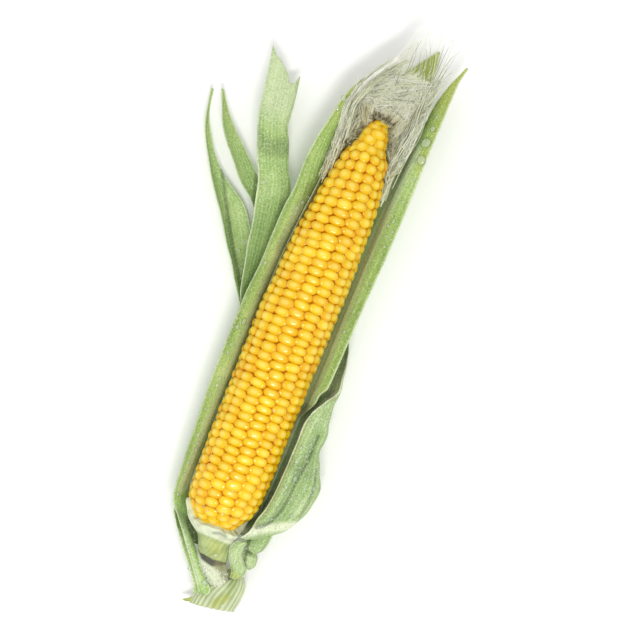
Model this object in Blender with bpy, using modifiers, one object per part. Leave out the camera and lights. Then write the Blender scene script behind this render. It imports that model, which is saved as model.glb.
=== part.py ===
"""An ear of sweet corn, lying on its back with the husk opened round it.

The ear's axis runs along +Y with the silk at +Y, the bare kernels face +Z, and z = 0 is the surface it rests on.
Sizes are in millimetres here and become metres where a mesh is made.
"""

import math
import random

import bmesh
import bpy
import numpy as np
from mathutils import Vector

MM = 0.001
COLLECTION = "corn_cob"

# Driving dimensions
AXIS_HEIGHT = 23.7
SHEET = 0.8
LAYER = 1.25
CUP_RADIUS = 19.5
REST_HEIGHT = SHEET / 2
REST_SPOT = (-86, 18)
REST_HALF_WIDTH = 6.0
REST_WAIST = 0.2
BESIDE_REST = 0.3
RUFFLE = 0.35
RUFFLE_PITCH = 21

# The ear: position along the axis, sideways drift of the axis, radius over the kernel crowns
EAR_BODY = (
    (-104.8, 0.6, 7.5), (-103, 0.2, 10.5), (-100, 0.0, 13.6), (-95, 0.2, 16.6), (-90, 0.4, 17.5),
    (-80, 0.6, 18.3), (-50, 0.3, 18.4), (-20, 0.1, 18.5), (0, 0.0, 18.7), (20, 0.7, 18.3), (40, 1.1, 17.4),
    (50, 1.6, 16.6), (60, 2.1, 15.6), (70, 2.2, 14.2), (80, 2.3, 12.2), (85, 2.4, 11.4), (89, 2.5, 9.0),
)
EAR_TIP = (
    (84, 2.4, 6.0), (88, 2.5, 7.7), (92, 2.6, 7.6), (96, 2.6, 7.0), (100, 2.7, 5.4), (103, 2.6, 3.4),
    (105, 2.5, 1.2),
)
KERNEL_ROWS = 16
KERNELS_PER_ROW = 36
TIP_ROWS = 8
KERNELS_PER_TIP_ROW = 4
KERNEL_GROOVE = 1.8
KERNEL_CREASE = 1.4
ROW_TWIST = ((-105, 8.0), (-30, 7.2), (-20, 0.6), (0, 0.0), (38, 0.0), (48, -3.0), (90, -3.0))
SEED = 7

# The husk trough: position along the axis, sideways drift, height of its centre, radius of the innermost layer
TROUGH = (
    (-118, 3.2, 20.8, 8.8), (-112, 1.6, 22.2, 10.2), (-107, 0.2, 23.0, 13.6), (-103, -0.2, 23.4, 16.2),
    (-98, 0.0, 23.6, 18.4), (-92, 0.0, AXIS_HEIGHT, CUP_RADIUS), (20, 0.0, AXIS_HEIGHT, CUP_RADIUS),
    (50, 1.5, AXIS_HEIGHT, 18.4), (80, 2.4, AXIS_HEIGHT, 17.6), (100, 3.2, AXIS_HEIGHT, 17.6),
    (120, 5.0, 22.6, 17.2), (148, 8.0, 21.0, 16.5),
)
LADDER_START, LADDER_END = -140, 150
LADDER_STEPS = ((-88, 4.5), (50, 13), (150, 7.5))
FLARE_START = math.radians(72)
FLARE_END = math.radians(36)
FLARE_LENGTH = 7.0
FLARE_REACH = 16.0

# Husk leaves in the trough: position, left edge, right edge
HUSK_INNER = (
    (-109, -5.0, 6.0), (-104, -10.0, 10.0), (-98, -15.4, 15.4), (-90, -17.4, 17.2), (-50, -18.0, 17.6),
    (20, -18.0, 17.6), (50, -16.2, 17.0), (66, -14.6, 16.4), (80, -13.8, 16.0), (88, -10.0, 12.0), (94, -3.0, 6.0),
)
HUSK_LEFT = (
    (-104, -20.4, -13.5), (-100, -22.5, -12.0), (-95, -23.5, -12.0), (-90, -24.0, -11.0), (-78, -24.8, -6.0),
    (-60, -25.8, -1.0), (-40, -26.8, 2.0), (0, -27.0, 4.0), (20, -25.8, 4.0), (40, -25.6, 1.0), (50, -25.2, -3.0),
    (60, -24.2, -9.0), (68, -24.3, -12.4), (75, -24.3, -14.0), (85, -23.3, -14.8), (95, -21.3, -15.2),
    (105, -19.7, -15.6), (113, -17.2, -14.2), (118, -14.5, -12.6), (121, -12.9, -11.9),
)
HUSK_RIGHT = (
    (-111, -1.0, 7.0), (-104, -4.0, 11.5), (-98, -6.0, 15.6), (-92, -6.0, 17.6), (-60, -6.0, 18.8),
    (-46, -6.0, 19.2), (-41, -6.0, 20.2), (-37.5, -6.0, 22.0), (-33, -6.0, 24.2), (-29, -6.0, 24.6),
    (-24, -6.0, 27.0), (-15, -6.0, 27.5), (10, -6.0, 28.0), (30, -6.0, 28.8), (50, -5.0, 29.5), (65, -1.0, 29.8),
    (80, 8.0, 29.8), (92, 15.6, 29.8), (105, 21.5, 29.8), (115, 22.9, 30.0), (123, 24.0, 30.0), (129, 25.5, 30.2),
    (134, 27.0, 30.3), (138, 28.8, 30.8), (143.3, 30.9, 31.9),
)
HUSK_BACK = (
    (-115, -4.0, 8.6), (-106, -7.0, 9.0), (-100, -11.0, 14.0), (-92, -18.6, 18.5), (-80, -20.6, 19.6),
    (60, -20.2, 20.2), (90, -18.0, 21.0), (105, -13.0, 21.6), (113, -8.0, 21.0), (118, -4.0, 20.2),
    (123, -1.0, 19.5), (127, 1.0, 18.9), (132, 4.0, 18.5), (136, 7.0, 18.4), (141, 10.8, 17.6), (147, 15.3, 16.4),
)
BACK_OFFSET = 3 * LAYER + 0.8

# Free sheets: position, left edge x and height, right edge x and height, rise of the middle over the chord
STRAP_LEFT = (
    (-138, 6.5, 20.6, 10.0, 21.4, 0.3), (-136, 4.6, 20.6, 11.0, 21.8, 0.5), (-133, 2.6, 20.0, 9.2, 21.4, 0.8),
    (-130, 0.2, 19.4, 5.6, 20.6, 0.8), (-126, -2.8, 18.8, 2.0, 19.4, 0.8), (-121, -6.8, 18.4, -2.6, 17.2, 0.9),
    (-116, -10.8, 18.6, -6.2, 15.2, 1.0), (-111, -14.8, 19.6, -11.0, 12.0, 0.6), (-106, -18.4, 20.6, -13.4, 9.2, -0.6),
    (-100, -22.5, 23.4, -10.0, 6.6, -3.4),
)
LEAF_WIDE = (
    (-139.5, 3.6, 18.2, 6.4, 18.6, 0.2), (-135, 2.0, 17.8, 5.6, 18.0, 0.4), (-130, -2.0, 17.2, 2.6, 17.4, 0.5),
    (-125, -6.0, 16.8, -1.6, 16.0, 0.5), (-121, -9.4, 16.8, -5.0, 14.6, 0.5), (-116, -13.2, 16.6, -8.6, 11.8, 0.3),
    (-111, -17.0, 17.4, -13.6, 9.4, -0.3), (-105, -20.4, 17.0, -12.8, 7.0, -0.4), (-12, -26.0, 16.4, -16.6, 2.8, -1.0),
    (0, -28.5, 18.2, -17.4, 3.4, -0.8), (15, -32.5, 19.6, -18.6, 4.8, -0.8), (35, -36.5, 20.4, -21.0, 8.4, -0.2),
    (50, -40.0, 20.6, -23.6, 11.6, 0.6), (58, -42.5, 20.6, -25.6, 13.2, 1.0), (68, -47.0, 20.4, -31.0, 15.0, 1.4),
    (78, -51.0, 20.0, -34.6, 15.6, 1.6), (86, -53.5, 19.2, -38.2, 15.2, 1.6), (95, -55.0, 17.8, -39.6, 14.0, 1.4),
    (105, -57.2, 15.8, -42.0, 12.2, 1.0),
)
LEAF_WIDE_FLANK = ((-110, -17.0, -13.0), (-96, -21.4, -15.4), (-80, -22.6, -16.0), (-8, -24.0, -16.4))
LEAF_WIDE_TORN = ((0.0, 14.5), (0.16, 11.0), (0.42, 7.5), (0.66, 3.5), (0.78, 0.0), (0.9, 1.0), (1.0, 5.0))
TORN_FROM = 86
LEAF_NARROW = (
    (-10, -24.6, 10.0, -19.0, 2.6, -0.6), (0, -25.6, 10.6, -19.6, 2.8, -0.7), (20, -29.2, 11.4, -22.0, 3.8, -0.6),
    (35, -34.0, 13.0, -27.0, 6.0, -0.6), (45, -40.0, 14.2, -33.0, 8.2, -0.8), (53, -50.2, 14.6, -38.6, 9.0, -1.0),
    (61, -57.0, 14.0, -46.0, 8.6, -1.4), (68, -63.0, 13.0, -53.6, 8.0, -1.4), (76, -68.6, 11.2, -62.0, 7.4, -1.2),
    (84, -72.0, 9.0, -69.0, 6.6, -0.6), (91, -75.0, 6.2, -74.0, 5.6, 0.0),
)
LEAF_NARROW_FLANK = ((-117, -7.0, -3.0), (-106, -12.4, -8.0), (-100, -16.0, -12.0), (-94, -19.4, -15.2), (-8, -23.6, -18.4))
LEAF_FOLDED = (
    (-12, -26.4, 8.2, -21.2, 2.0, -0.5), (0, -29.8, 9.0, -22.4, 1.8, -1.2), (10, -36.0, 10.6, -24.8, 2.2, -2.2),
    (20, -43.0, 11.4, -29.6, 2.8, -3.0), (32, -51.0, 11.6, -35.8, 4.2, -3.6), (42, -58.2, 11.4, -43.0, 5.2, -3.6),
    (52, -65.0, 10.8, -57.4, 6.2, -2.6), (62, -71.0, 9.8, -67.0, 6.2, -1.6), (74, -76.5, 7.8, -74.4, 5.8, -0.8),
    (82, -78.4, 6.0, -77.2, 5.0, -0.3), (89.5, -79.8, 4.2, -78.8, 3.8, 0.0),
)
LEAF_FOLDED_FLANK = ((-118, -5.0, -1.0), (-106, -13.4, -9.4), (-100, -17.6, -14.0), (-94, -20.2, -16.4), (-8, -24.4, -19.6))
LEAVING = (-16, 4)
BASE_CURL = (
    (-126, 17.2, 18.6, 19.6, 18.6, 0.6), (-123, 16.8, 19.6, 23.0, 18.2, 1.6), (-120, 15.6, 20.4, 23.4, 17.6, 2.2),
    (-117, 13.8, 21.0, 20.8, 17.6, 2.6), (-113, 12.0, 21.4, 18.0, 17.6, 2.8), (-110, 12.6, 22.4, 17.4, 17.8, 2.6),
    (-107.4, 14.4, 22.6, 18.6, 17.8, 2.0),
)
BASE_LOBE = (
    (-119.5, 22.8, 13.6, 24.8, 12.6, 0.4), (-116.5, 21.2, 14.6, 26.6, 11.2, 1.6), (-113.5, 20.4, 14.4, 26.4, 10.6, 2.0),
    (-111.4, 19.8, 12.6, 25.2, 9.6, 0.8), (-109, 19.2, 12.2, 27.0, 9.6, 2.0), (-104, 18.8, 8.6, 28.6, 9.6, 2.4),
    (-99, 20.6, 6.4, 29.2, 9.4, 1.6), (-95, 23.6, 6.4, 29.0, 9.0, 0.6),
)

# The crumpled husk: position, then its section from under the ear, out, up and folded over inwards
HUSK_CRUMPLED = (
    (-105.6, (11.4, 6.0), (15.0, 9.4), (17.2, 13.2), (18.6, 17.0), (18.4, 21), (17.4, 24), (16.0, 26.2), (14.6, 27)),
    (-101, (14.6, 5.4), (20, 10.6), (23.6, 14.4), (25.8, 18.6), (25.0, 23), (22.8, 24.4), (20.2, 27.4), (17.6, 27.8)),
    (-95, (16.2, 3.4), (22, 9.4), (29, 14.2), (33, 20.0), (30, 25.4), (25.6, 24.0), (22, 27.0), (18.8, 26.0)),
    (-88, (15.8, 3.6), (24, 10.4), (32.6, 15.0), (37.4, 21.0), (34, 27.0), (27.8, 24.2), (24.4, 29.0), (20.8, 27.6)),
    (-80, (16.0, 3.6), (25, 11.0), (35, 15.6), (40.6, 21.4), (36, 27.6), (29.2, 24.4), (25.6, 30.0), (22.0, 28.0)),
    (-71, (16.0, 3.6), (25, 11.4), (35.6, 16.0), (41.4, 21.6), (37, 27.6), (29.8, 24.8), (26.2, 30.4), (22.3, 28.4)),
    (-62, (16.0, 3.6), (25, 11.6), (33, 16.4), (37.2, 21.8), (34.8, 27.0), (30.8, 25.2), (26.8, 30.6), (22.5, 28.6)),
    (-53, (16.0, 3.6), (24.6, 11.8), (31, 16.8), (34.2, 22.0), (33, 26.6), (31.0, 25.6), (27.0, 30.4), (22.7, 28.6)),
    (-45, (16.0, 3.6), (24.4, 12.0), (31, 17.0), (35.0, 22.4), (33.4, 26.8), (31.2, 25.8), (27.2, 30.0), (22.6, 28.4)),
    (-38, (16.0, 3.6), (24.2, 12.0), (30, 17.0), (33.2, 22.2), (32.2, 26.2), (30.8, 27.0), (28.0, 28.8), (24.0, 28.4)),
    (-31, (16.0, 3.6), (24.0, 12.0), (29.4, 17.0), (32.6, 21.8), (32.4, 25.4), (31.4, 26.8), (30.0, 27.6), (27.8, 27.8)),
    (-23, (16.4, 3.8), (23.8, 12.0), (28.8, 16.8), (31.6, 20.6), (32.5, 24.0), (32.5, 25.2), (32.3, 26.0), (31.8, 26.6)),
    (-12, (18.0, 4.6), (24.0, 12.0), (27.6, 15.8), (29.8, 18.6), (30.8, 21.0), (31.0, 22.0), (31.0, 23.0), (31.0, 23.8)),
    (0, (22.4, 9.0), (24.6, 12.4), (26.0, 14.2), (27.0, 15.8), (27.6, 17.2), (27.9, 18.2), (28.1, 19.0), (28.2, 19.8)),
    (6, (25.2, 13.4), (25.4, 13.8), (25.6, 14.2), (25.8, 14.6), (26.0, 15.0), (26.1, 15.4), (26.2, 15.8), (26.3, 16.2)),
)

# The shank: cup and neck as a turned profile of position and radius, then the torn pith and the ribbed stub
CUP_OUTSIDE = (
    (-120.5, 5.6), (-119.6, 7.3), (-117, 7.7), (-112.6, 7.9), (-110.4, 9.4), (-107, 11.9), (-103, 14.4), (-98.5, 16.6),
)
CUP_INSIDE = ((-98.3, 15.7), (-101.5, 13.5), (-104.2, 10.4), (-105.8, 6.8))
CUP_OPEN = (-106.2, AXIS_HEIGHT + 1.0)
SHANK_SIDES = 20
PITH = (
    (-118, 5.6, 19.8, 5.6), (-121.5, 7.0, 18.4, 6.0), (-124, 8.4, 17.6, 6.8), (-127.5, 9.8, 16.6, 6.0),
    (-131, 10.8, 15.6, 4.0), (-133, 11.4, 15.0, 2.0),
)
STUB = (
    (-122.5, 18.6, 12.2, 2.6, 2.6), (-124.5, 19.0, 12.2, 4.6, 4.2), (-128, 18.4, 12.0, 7.2, 5.8),
    (-132, 17.0, 12.0, 9.0, 6.6), (-137, 15.4, 12.0, 10.2, 7.0), (-143, 14.4, 12.0, 10.4, 7.2),
)
STUB_RIBS = 12
STUB_RIB_HEIGHT = 0.35
STUB_CUT_SLOPE = 0.17
FLAP = (
    (-144.8, 0.0, 12.0, 1.2, 12.0, 0.0), (-143.4, 2.2, 12.2, 6.2, 12.4, 0.2), (-141.6, 4.0, 12.4, 9.0, 12.8, 0.4),
)

# The silk: core sections of position, centre x and height, half width and half height
SILK_CORE = (
    (88, 2.8, 11.6, 5.0, 2.2), (94, 2.8, 11.8, 10.0, 3.4), (104, 3.0, 12.8, 12.4, 4.6), (108, 3.4, 17.0, 15.0, 8.4),
    (114, 4.0, 19.0, 15.6, 9.4), (122, 5.8, 20.0, 14.2, 9.0), (130, 9.5, 20.2, 11.0, 7.6), (137, 12.6, 20.4, 7.6, 5.6),
    (142, 14.6, 20.6, 3.6, 3.0),
)
SILK_SIDES = 26
SILK_RIDGE = 0.45
STRAND_RADIUS = 0.42
STRAND_TIPS = (
    (3.0, 143.0, 20.0), (8.5, 154.5, 17.0), (14.0, 156.5, 22.0), (20.0, 154.0, 26.0), (25.0, 150.0, 19.0),
    (27.0, 143.0, 26.0), (24.5, 133.0, 28.0), (-2.0, 136.0, 24.0), (11.0, 149.0, 27.0), (17.0, 150.0, 16.0),
    (22.0, 144.0, 21.0), (6.0, 147.0, 28.0), (-6.0, 130.0, 21.0), (-9.5, 124.0, 25.0), (23.0, 124.0, 24.0),
    (-13.0, 116.0, 23.0), (0.0, 139.0, 17.0), (11.0, 152.0, 20.0), (24.0, 146.0, 23.0), (25.5, 137.0, 22.0),
    (22.5, 116.0, 26.0), (3.0, 134.0, 30.0), (14.0, 142.0, 29.0), (-4.0, 122.0, 31.0), (9.0, 122.0, 32.0),
    (16.0, 128.0, 31.0), (10.0, 140.0, 13.0), (0.0, 128.0, 11.0), (18.0, 134.0, 13.0),
)
SIDE_STRANDS = (
    ((-10.0, 112.0, 20.0), (-14.0, 104.0, 20.5), (-13.8, 92.0, 21.0), (-12.4, 82.0, 22.0), (-13.0, 72.0, 22.4)),
    ((-8.0, 113.0, 23.0), (-12.0, 105.0, 24.0), (-11.0, 94.0, 25.0), (-10.8, 86.0, 26.0)),
    ((14.0, 112.0, 20.0), (19.0, 104.0, 20.5), (18.6, 92.0, 21.0), (17.4, 80.0, 22.0), (17.8, 68.0, 22.6)),
    ((12.0, 113.0, 23.0), (16.4, 105.0, 24.0), (16.2, 94.0, 25.0), (15.8, 86.0, 26.0)),
)

# Colours as linear base colour, and roughness
FINISHES = {
    "kernel": ((0.90, 0.52, 0.02), 0.28),
    "husk_green": ((0.27, 0.40, 0.14), 0.55),
    "husk_pale": ((0.62, 0.66, 0.42), 0.60),
    "stalk": ((0.42, 0.50, 0.20), 0.55),
    "silk": ((0.66, 0.68, 0.48), 0.50),
}


def blend(low, high, value):
    """0 below low, 1 above high, smooth between."""
    share = min(max((value - low) / (high - low), 0.0), 1.0)
    return share * share * (3 - 2 * share)


def along(table, y):
    """The row of a table at position y, by a cubic through its rows that never overshoots them."""
    rows = np.asarray(table, float)
    at, values = rows[:, 0], rows[:, 1:]
    step = np.diff(at)[:, None]
    slope = np.diff(values, axis=0) / step
    tangent = np.zeros_like(values)
    same_way = slope[:-1] * slope[1:] > 0
    tangent[1:-1] = np.where(same_way, 2 * slope[:-1] * slope[1:] / np.where(same_way, slope[:-1] + slope[1:], 1), 0)
    tangent[0], tangent[-1] = slope[0], slope[-1]
    i = int(np.clip(np.searchsorted(at, y) - 1, 0, len(at) - 2))
    h = at[i + 1] - at[i]
    t = float(np.clip((y - at[i]) / h, 0, 1))
    return (
        (2 * t**3 - 3 * t**2 + 1) * values[i]
        + (t**3 - 2 * t**2 + t) * h * tangent[i]
        + (3 * t**2 - 2 * t**3) * values[i + 1]
        + (t**3 - t**2) * h * tangent[i + 1]
    )


def rungs():
    """Positions along the ear at which every sheet in the trough has a row, so that layers stay apart."""
    y = LADDER_START
    while y < LADDER_END:
        yield y
        y += next(step for limit, step in LADDER_STEPS if y < limit)


def shared_stations(first, last):
    """The first and last positions and the rungs between them."""
    return [first, *(y for y in rungs() if first + 1 < y < last - 1), last]


def stations(first, last, count):
    """Positions from first to last, closer together at both ends."""
    ease = [0.5 - 0.5 * math.cos(math.pi * i / (count - 1)) for i in range(count)]
    return [first + (last - first) * (0.6 * i / (count - 1) + 0.4 * e) for i, e in enumerate(ease)]


def trough_section(y, offset):
    """Points (x, z) of the husk trough's section at y, from left to right, offset outwards from its inner layer."""
    drift, height, radius = along(TROUGH, y)
    s = np.linspace(0, radius * FLARE_START + FLARE_REACH, 160)
    over = np.clip((s - radius * FLARE_START) / FLARE_LENGTH, 0, 1)
    angle = np.where(s < radius * FLARE_START, s / radius, FLARE_START - (FLARE_START - FLARE_END) * over)
    step = s[1] - s[0]
    x = np.concatenate([[0], np.cumsum(np.cos(angle[:-1]) * step)]) + np.sin(angle) * offset
    z = np.concatenate([[0], np.cumsum(np.sin(angle[:-1]) * step)]) - np.cos(angle) * offset - radius
    xs = np.concatenate([-x[:0:-1], x]) + drift
    zs = np.concatenate([z[:0:-1], z]) + height
    past_rest = max(REST_SPOT[0] - y, y - REST_SPOT[1], 0)
    return xs, np.maximum(zs, REST_HEIGHT + BESIDE_REST * min(past_rest / 7, 1))


def trough_row(y, left, right, offset, count):
    """Points evenly spaced along the trough's section between two sideways positions."""
    xs, zs = trough_section(y, offset)
    run = np.concatenate([[0], np.cumsum(np.hypot(np.diff(xs), np.diff(zs)))])
    at = np.linspace(np.interp(left, xs, run), np.interp(right, xs, run), count)
    return [Vector((np.interp(a, run, xs), y, np.interp(a, run, zs))) for a in at]


def free_row(table, y, count):
    """Points across a free sheet at y, bowed by the table's rise, with a ruffle that grows towards its edges."""
    left, left_height, right, right_height, rise = along(table, y)
    chord = Vector((right - left, 0, right_height - left_height))
    normal = Vector((-chord.z, 0, chord.x)).normalized()
    start = Vector((left, y, left_height))
    ruffle = RUFFLE * math.sin(2 * math.pi * y / RUFFLE_PITCH)
    row = []
    for t in np.linspace(0, 1, count):
        lift = rise * 4 * t * (1 - t) + ruffle * (2 * t - 1) ** 3
        row.append(start + chord * t + normal * lift)
    return row


def section_row(table, y, count):
    """Points across a sheet whose whole section is in the table, by a smooth curve through its points."""
    points = along([(row[0], *sum(row[1:], ())) for row in table], y).reshape(-1, 2)
    t = np.linspace(0, 1, len(points))
    through = [(a, *p) for a, p in zip(t, points)]
    found = [along(through, a) for a in np.linspace(0, 1, count)]
    return [Vector((x, y, z)) for x, z in found]


def mixed(first, second, share):
    return [a.lerp(b, share) for a, b in zip(first, second)]


def finish(name):
    """A node's own material: its colour and roughness."""
    colour, roughness = FINISHES[name]
    material = bpy.data.materials.new(name)
    material.use_nodes = True
    shader = material.node_tree.nodes["Principled BSDF"]
    shader.inputs["Base Color"].default_value = (*colour, 1)
    shader.inputs["Roughness"].default_value = roughness
    return material


def add_object(name, bm, colour):
    """An object from a bmesh in millimetres, shaded smooth, in the corn's collection."""
    bmesh.ops.scale(bm, vec=(MM, MM, MM), verts=bm.verts)
    mesh = bpy.data.meshes.new(name)
    bm.to_mesh(mesh)
    bm.free()
    mesh.materials.append(finish(colour))
    mesh.shade_smooth()
    obj = bpy.data.objects.new(name, mesh)
    bpy.data.collections[COLLECTION].objects.link(obj)
    return obj


def grid(rows):
    """A grid bent through rows of points, split into triangles."""
    bm = bmesh.new()
    made = bmesh.ops.create_grid(bm, x_segments=len(rows[0]) - 1, y_segments=len(rows) - 1, size=1)
    for i, vert in enumerate(made["verts"]):
        vert.co = rows[i // len(rows[0])][i % len(rows[0])]
    bmesh.ops.triangulate(bm, faces=bm.faces)
    return bm


def sheet(name, rows, colour):
    """A leaf: an open surface with a thickness."""
    obj = add_object(name, grid(rows), colour)
    solid = obj.modifiers.new("thickness", "SOLIDIFY")
    solid.thickness = SHEET * MM
    solid.offset = 0
    return obj


def tube(rings):
    """A closed body through rings of points, with its ends filled."""
    bm = grid([[*ring, ring[0]] for ring in rings])
    bmesh.ops.remove_doubles(bm, verts=bm.verts, dist=1e-5)
    open_edges = [edge for edge in bm.edges if edge.is_boundary]
    bmesh.ops.holes_fill(bm, edges=open_edges, sides=len(rings[0]))
    bmesh.ops.triangulate(bm, faces=[face for face in bm.faces if len(face.verts) > 3])
    bmesh.ops.recalc_face_normals(bm, faces=bm.faces)
    return bm


def ring(y, drift, height, half_width, half_height, sides):
    """An ellipse of points across the axis."""
    turns = [2 * math.pi * i / sides for i in range(sides)]
    return [Vector((drift + half_width * math.cos(a), y, height + half_height * math.sin(a))) for a in turns]


def join(obj, helpers):
    """One body from an object and the closed helpers that overlap it."""
    group = bpy.data.collections.new(obj.name + "_pieces")
    bpy.context.scene.collection.children.link(group)
    for helper in helpers:
        bpy.data.collections[COLLECTION].objects.unlink(helper)
        group.objects.link(helper)
    union = obj.modifiers.new("join", "BOOLEAN")
    union.operation = "UNION"
    union.solver = "MANIFOLD"
    union.operand_type = "COLLECTION"
    union.collection = group
    apply_modifiers(obj)
    for helper in helpers:
        bpy.data.objects.remove(helper)
    bpy.data.collections.remove(group)
    return obj


def kernel_rings(profile, rows, kernels, twist):
    """Rings of points over rows of kernels: three columns and two rings a kernel, staggered from row to row."""
    draw = random.Random(SEED)
    stagger = [0.5 * (row % 2) + draw.uniform(-0.18, 0.18) for row in range(rows)]
    first, last = profile[0][0], profile[-1][0]
    pitch = (last - first) / kernels
    rings = []
    for k in range(2 * kernels + 1):
        crest = k % 2
        inside = 0 < k < 2 * kernels
        points = []
        for column in range(3 * rows):
            row, part = divmod(column, 3)
            shift = stagger[row] if part else (stagger[row] + stagger[row - 1]) / 2
            fade = min(1.0, k / 4, (2 * kernels - k) / 4)
            y = first + pitch * (k / 2 + shift * fade * inside)
            drift, radius = along(profile, y)
            dip = KERNEL_GROOVE * (part == 0) + KERNEL_CREASE * (not crest) * (1 if part else 0.3)
            radius -= dip * min(1.0, radius / 9)
            across = (column + 0.5 * (part == 1) * 0.4 - 0.5 * (part == 2) * 0.4 - 1.5) / 3
            turn = math.radians(90 - along(twist, y)[0]) - 2 * math.pi * across / rows
            points.append(Vector((drift + radius * math.cos(turn), y, AXIS_HEIGHT + radius * math.sin(turn))))
        rings.append(points)
    return rings


def make_ear():
    """The cob with its kernels, and the narrow end with its fewer, rounder ones."""
    body = add_object("ear", tube(kernel_rings(EAR_BODY, KERNEL_ROWS, KERNELS_PER_ROW, ROW_TWIST)), "kernel")
    tip = add_object("tip", tube(kernel_rings(EAR_TIP, TIP_ROWS, KERNELS_PER_TIP_ROW, ROW_TWIST)), "kernel")
    return join(body, [tip])


def trough_husk(name, table, offset, count, colour):
    positions = shared_stations(table[0][0], table[-1][0])
    rows = [trough_row(y, *along(table, y), offset, count) for y in positions]
    return sheet(name, rows, colour)


def level_rest_spot(obj):
    """Makes the underside that lies on the surface one flat rectangle, a little narrower between its ends."""
    apply_modifiers(obj)
    for vert in obj.data.vertices:
        x, y, z = vert.co / MM
        if z < 0.1:
            at_end = min(abs(y - end) for end in REST_SPOT) < 1
            half_width = REST_HALF_WIDTH - REST_WAIST * (not at_end)
            vert.co.z = 0
            vert.co.x = MM * (math.copysign(half_width, x) if abs(x) > 3 else x)


def make_husk_left():
    """The left husk: in the trough beside the ear, and a narrow strap below it that runs to the shank's end."""
    count = 8
    rows = []
    for y in shared_stations(STRAP_LEFT[0][0], HUSK_LEFT[-1][0]):
        in_trough = trough_row(y, *along(HUSK_LEFT, y), LAYER, count)
        rows.append(mixed(free_row(STRAP_LEFT, y, count), in_trough, blend(-107, -101, y)))
    return sheet("husk_left", rows, "husk_green")


def make_leaf_wide():
    """The wide free leaf, torn across its end, whose narrow base lies along the left husk's strap."""
    count = 7
    rows = []
    for y in shared_stations(LEAF_WIDE[0][0], LEAF_WIDE[-1][0]):
        row = free_row(LEAF_WIDE, y, count)
        if LEAF_WIDE_FLANK[0][0] < y < LEAVING[1]:
            flank = trough_row(y, *along(LEAF_WIDE_FLANK, y), BACK_OFFSET + LAYER, count)
            row = mixed(row, flank, blend(-107, -99, y) * (1 - blend(*LEAVING, y)))
        reach = blend(TORN_FROM, LEAF_WIDE[-1][0], y)
        for i, point in enumerate(row):
            tear = along(LEAF_WIDE_TORN, i / (count - 1))[0]
            lean = -0.18 * tear * (1 - i / (count - 1))
            point += Vector((lean, tear, -0.3 * tear)) * reach
        rows.append(row)
    return sheet("leaf_wide", rows, "husk_green")


def flank_leaf(name, flank, table, offset, count):
    """A free leaf whose base lies against the ear's left flank, outside the layers under it."""
    rows = []
    for y in shared_stations(flank[0][0], table[-1][0]):
        under = trough_row(y, *along(flank, y), offset, count)
        rows.append(mixed(under, free_row(table, y, count), blend(*LEAVING, y)))
    return sheet(name, rows, "husk_green")


def free_leaf(name, table, length_count, width_count, colour):
    rows = [free_row(table, y, width_count) for y in stations(table[0][0], table[-1][0], length_count)]
    return sheet(name, rows, colour)


def make_husk_crumpled():
    first, last = HUSK_CRUMPLED[0][0], HUSK_CRUMPLED[-1][0]
    rows = [section_row(HUSK_CRUMPLED, y, 13) for y in stations(first, last, 22)]
    return sheet("husk_crumpled", rows, "husk_green")


def turned(profile, centre_x, centre_z, sides):
    """Rings of points for a profile of position and radius, round a line along Y."""
    return [ring(y, centre_x(y), centre_z(y), radius, radius, sides) for y, radius in profile]


def open_cup(stalk):
    """Cuts away the cup's upper half, so that the lowest kernels are bare at the front."""
    bm = bmesh.new()
    bmesh.ops.create_cube(bm, size=60)
    start, floor = CUP_OPEN
    bmesh.ops.translate(bm, vec=(0, start + 30, floor + 30), verts=bm.verts)
    cutter = add_object("cup_cutter", bm, "stalk")
    cut = stalk.modifiers.new("open", "BOOLEAN")
    cut.operation = "DIFFERENCE"
    cut.object = cutter
    apply_modifiers(stalk)
    bpy.data.objects.remove(cutter)


def apply_modifiers(obj):
    """Leaves the object's evaluated mesh in place of its modifiers."""
    bpy.context.view_layer.update()
    evaluated = obj.evaluated_get(bpy.context.evaluated_depsgraph_get())
    made = bpy.data.meshes.new_from_object(evaluated)
    obj.modifiers.clear()
    obj.data = made


def make_shank():
    """The stalk: a cup under the ear, a neck, the torn pith, and the ribbed stub with its small flap."""
    lean = ((-121, 6.4, 19.6), (-112, 3.2, 22.4), (-106, 1.0, 23.2), (-99, 0.2, AXIS_HEIGHT))
    rings = turned(CUP_OUTSIDE + CUP_INSIDE, lambda y: along(lean, y)[0], lambda y: along(lean, y)[1], SHANK_SIDES)
    stalk = add_object("shank", tube(rings), "stalk")
    open_cup(stalk)
    pith = add_object("pith", tube([ring(y, x, z, r, r, 12) for y, x, z, r in PITH]), "stalk")
    stub_rings = []
    for y, x, z, wide, high in STUB:
        points = ring(y, x, z, wide, high, 2 * STUB_RIBS)
        for i, point in enumerate(points):
            point += (point - Vector((x, y, z))).normalized() * STUB_RIB_HEIGHT * (i % 2)
            point.y += STUB_CUT_SLOPE * (point.x - x) * blend(-137, -143, y)
        stub_rings.append(points)
    stub = add_object("stub", tube(stub_rings), "stalk")
    flap = free_leaf("flap", FLAP, 5, 4, "stalk")
    solid_flap = add_object("solid_flap", evaluated_bmesh(flap), "stalk")
    bpy.data.objects.remove(flap)
    return join(stalk, [pith, stub, solid_flap])


def evaluated_bmesh(obj):
    """The object's mesh with its modifiers, in millimetres."""
    bpy.context.view_layer.update()
    bm = bmesh.new()
    bm.from_object(obj, bpy.context.evaluated_depsgraph_get())
    bmesh.ops.scale(bm, vec=(1 / MM, 1 / MM, 1 / MM), verts=bm.verts)
    return bm


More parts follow.
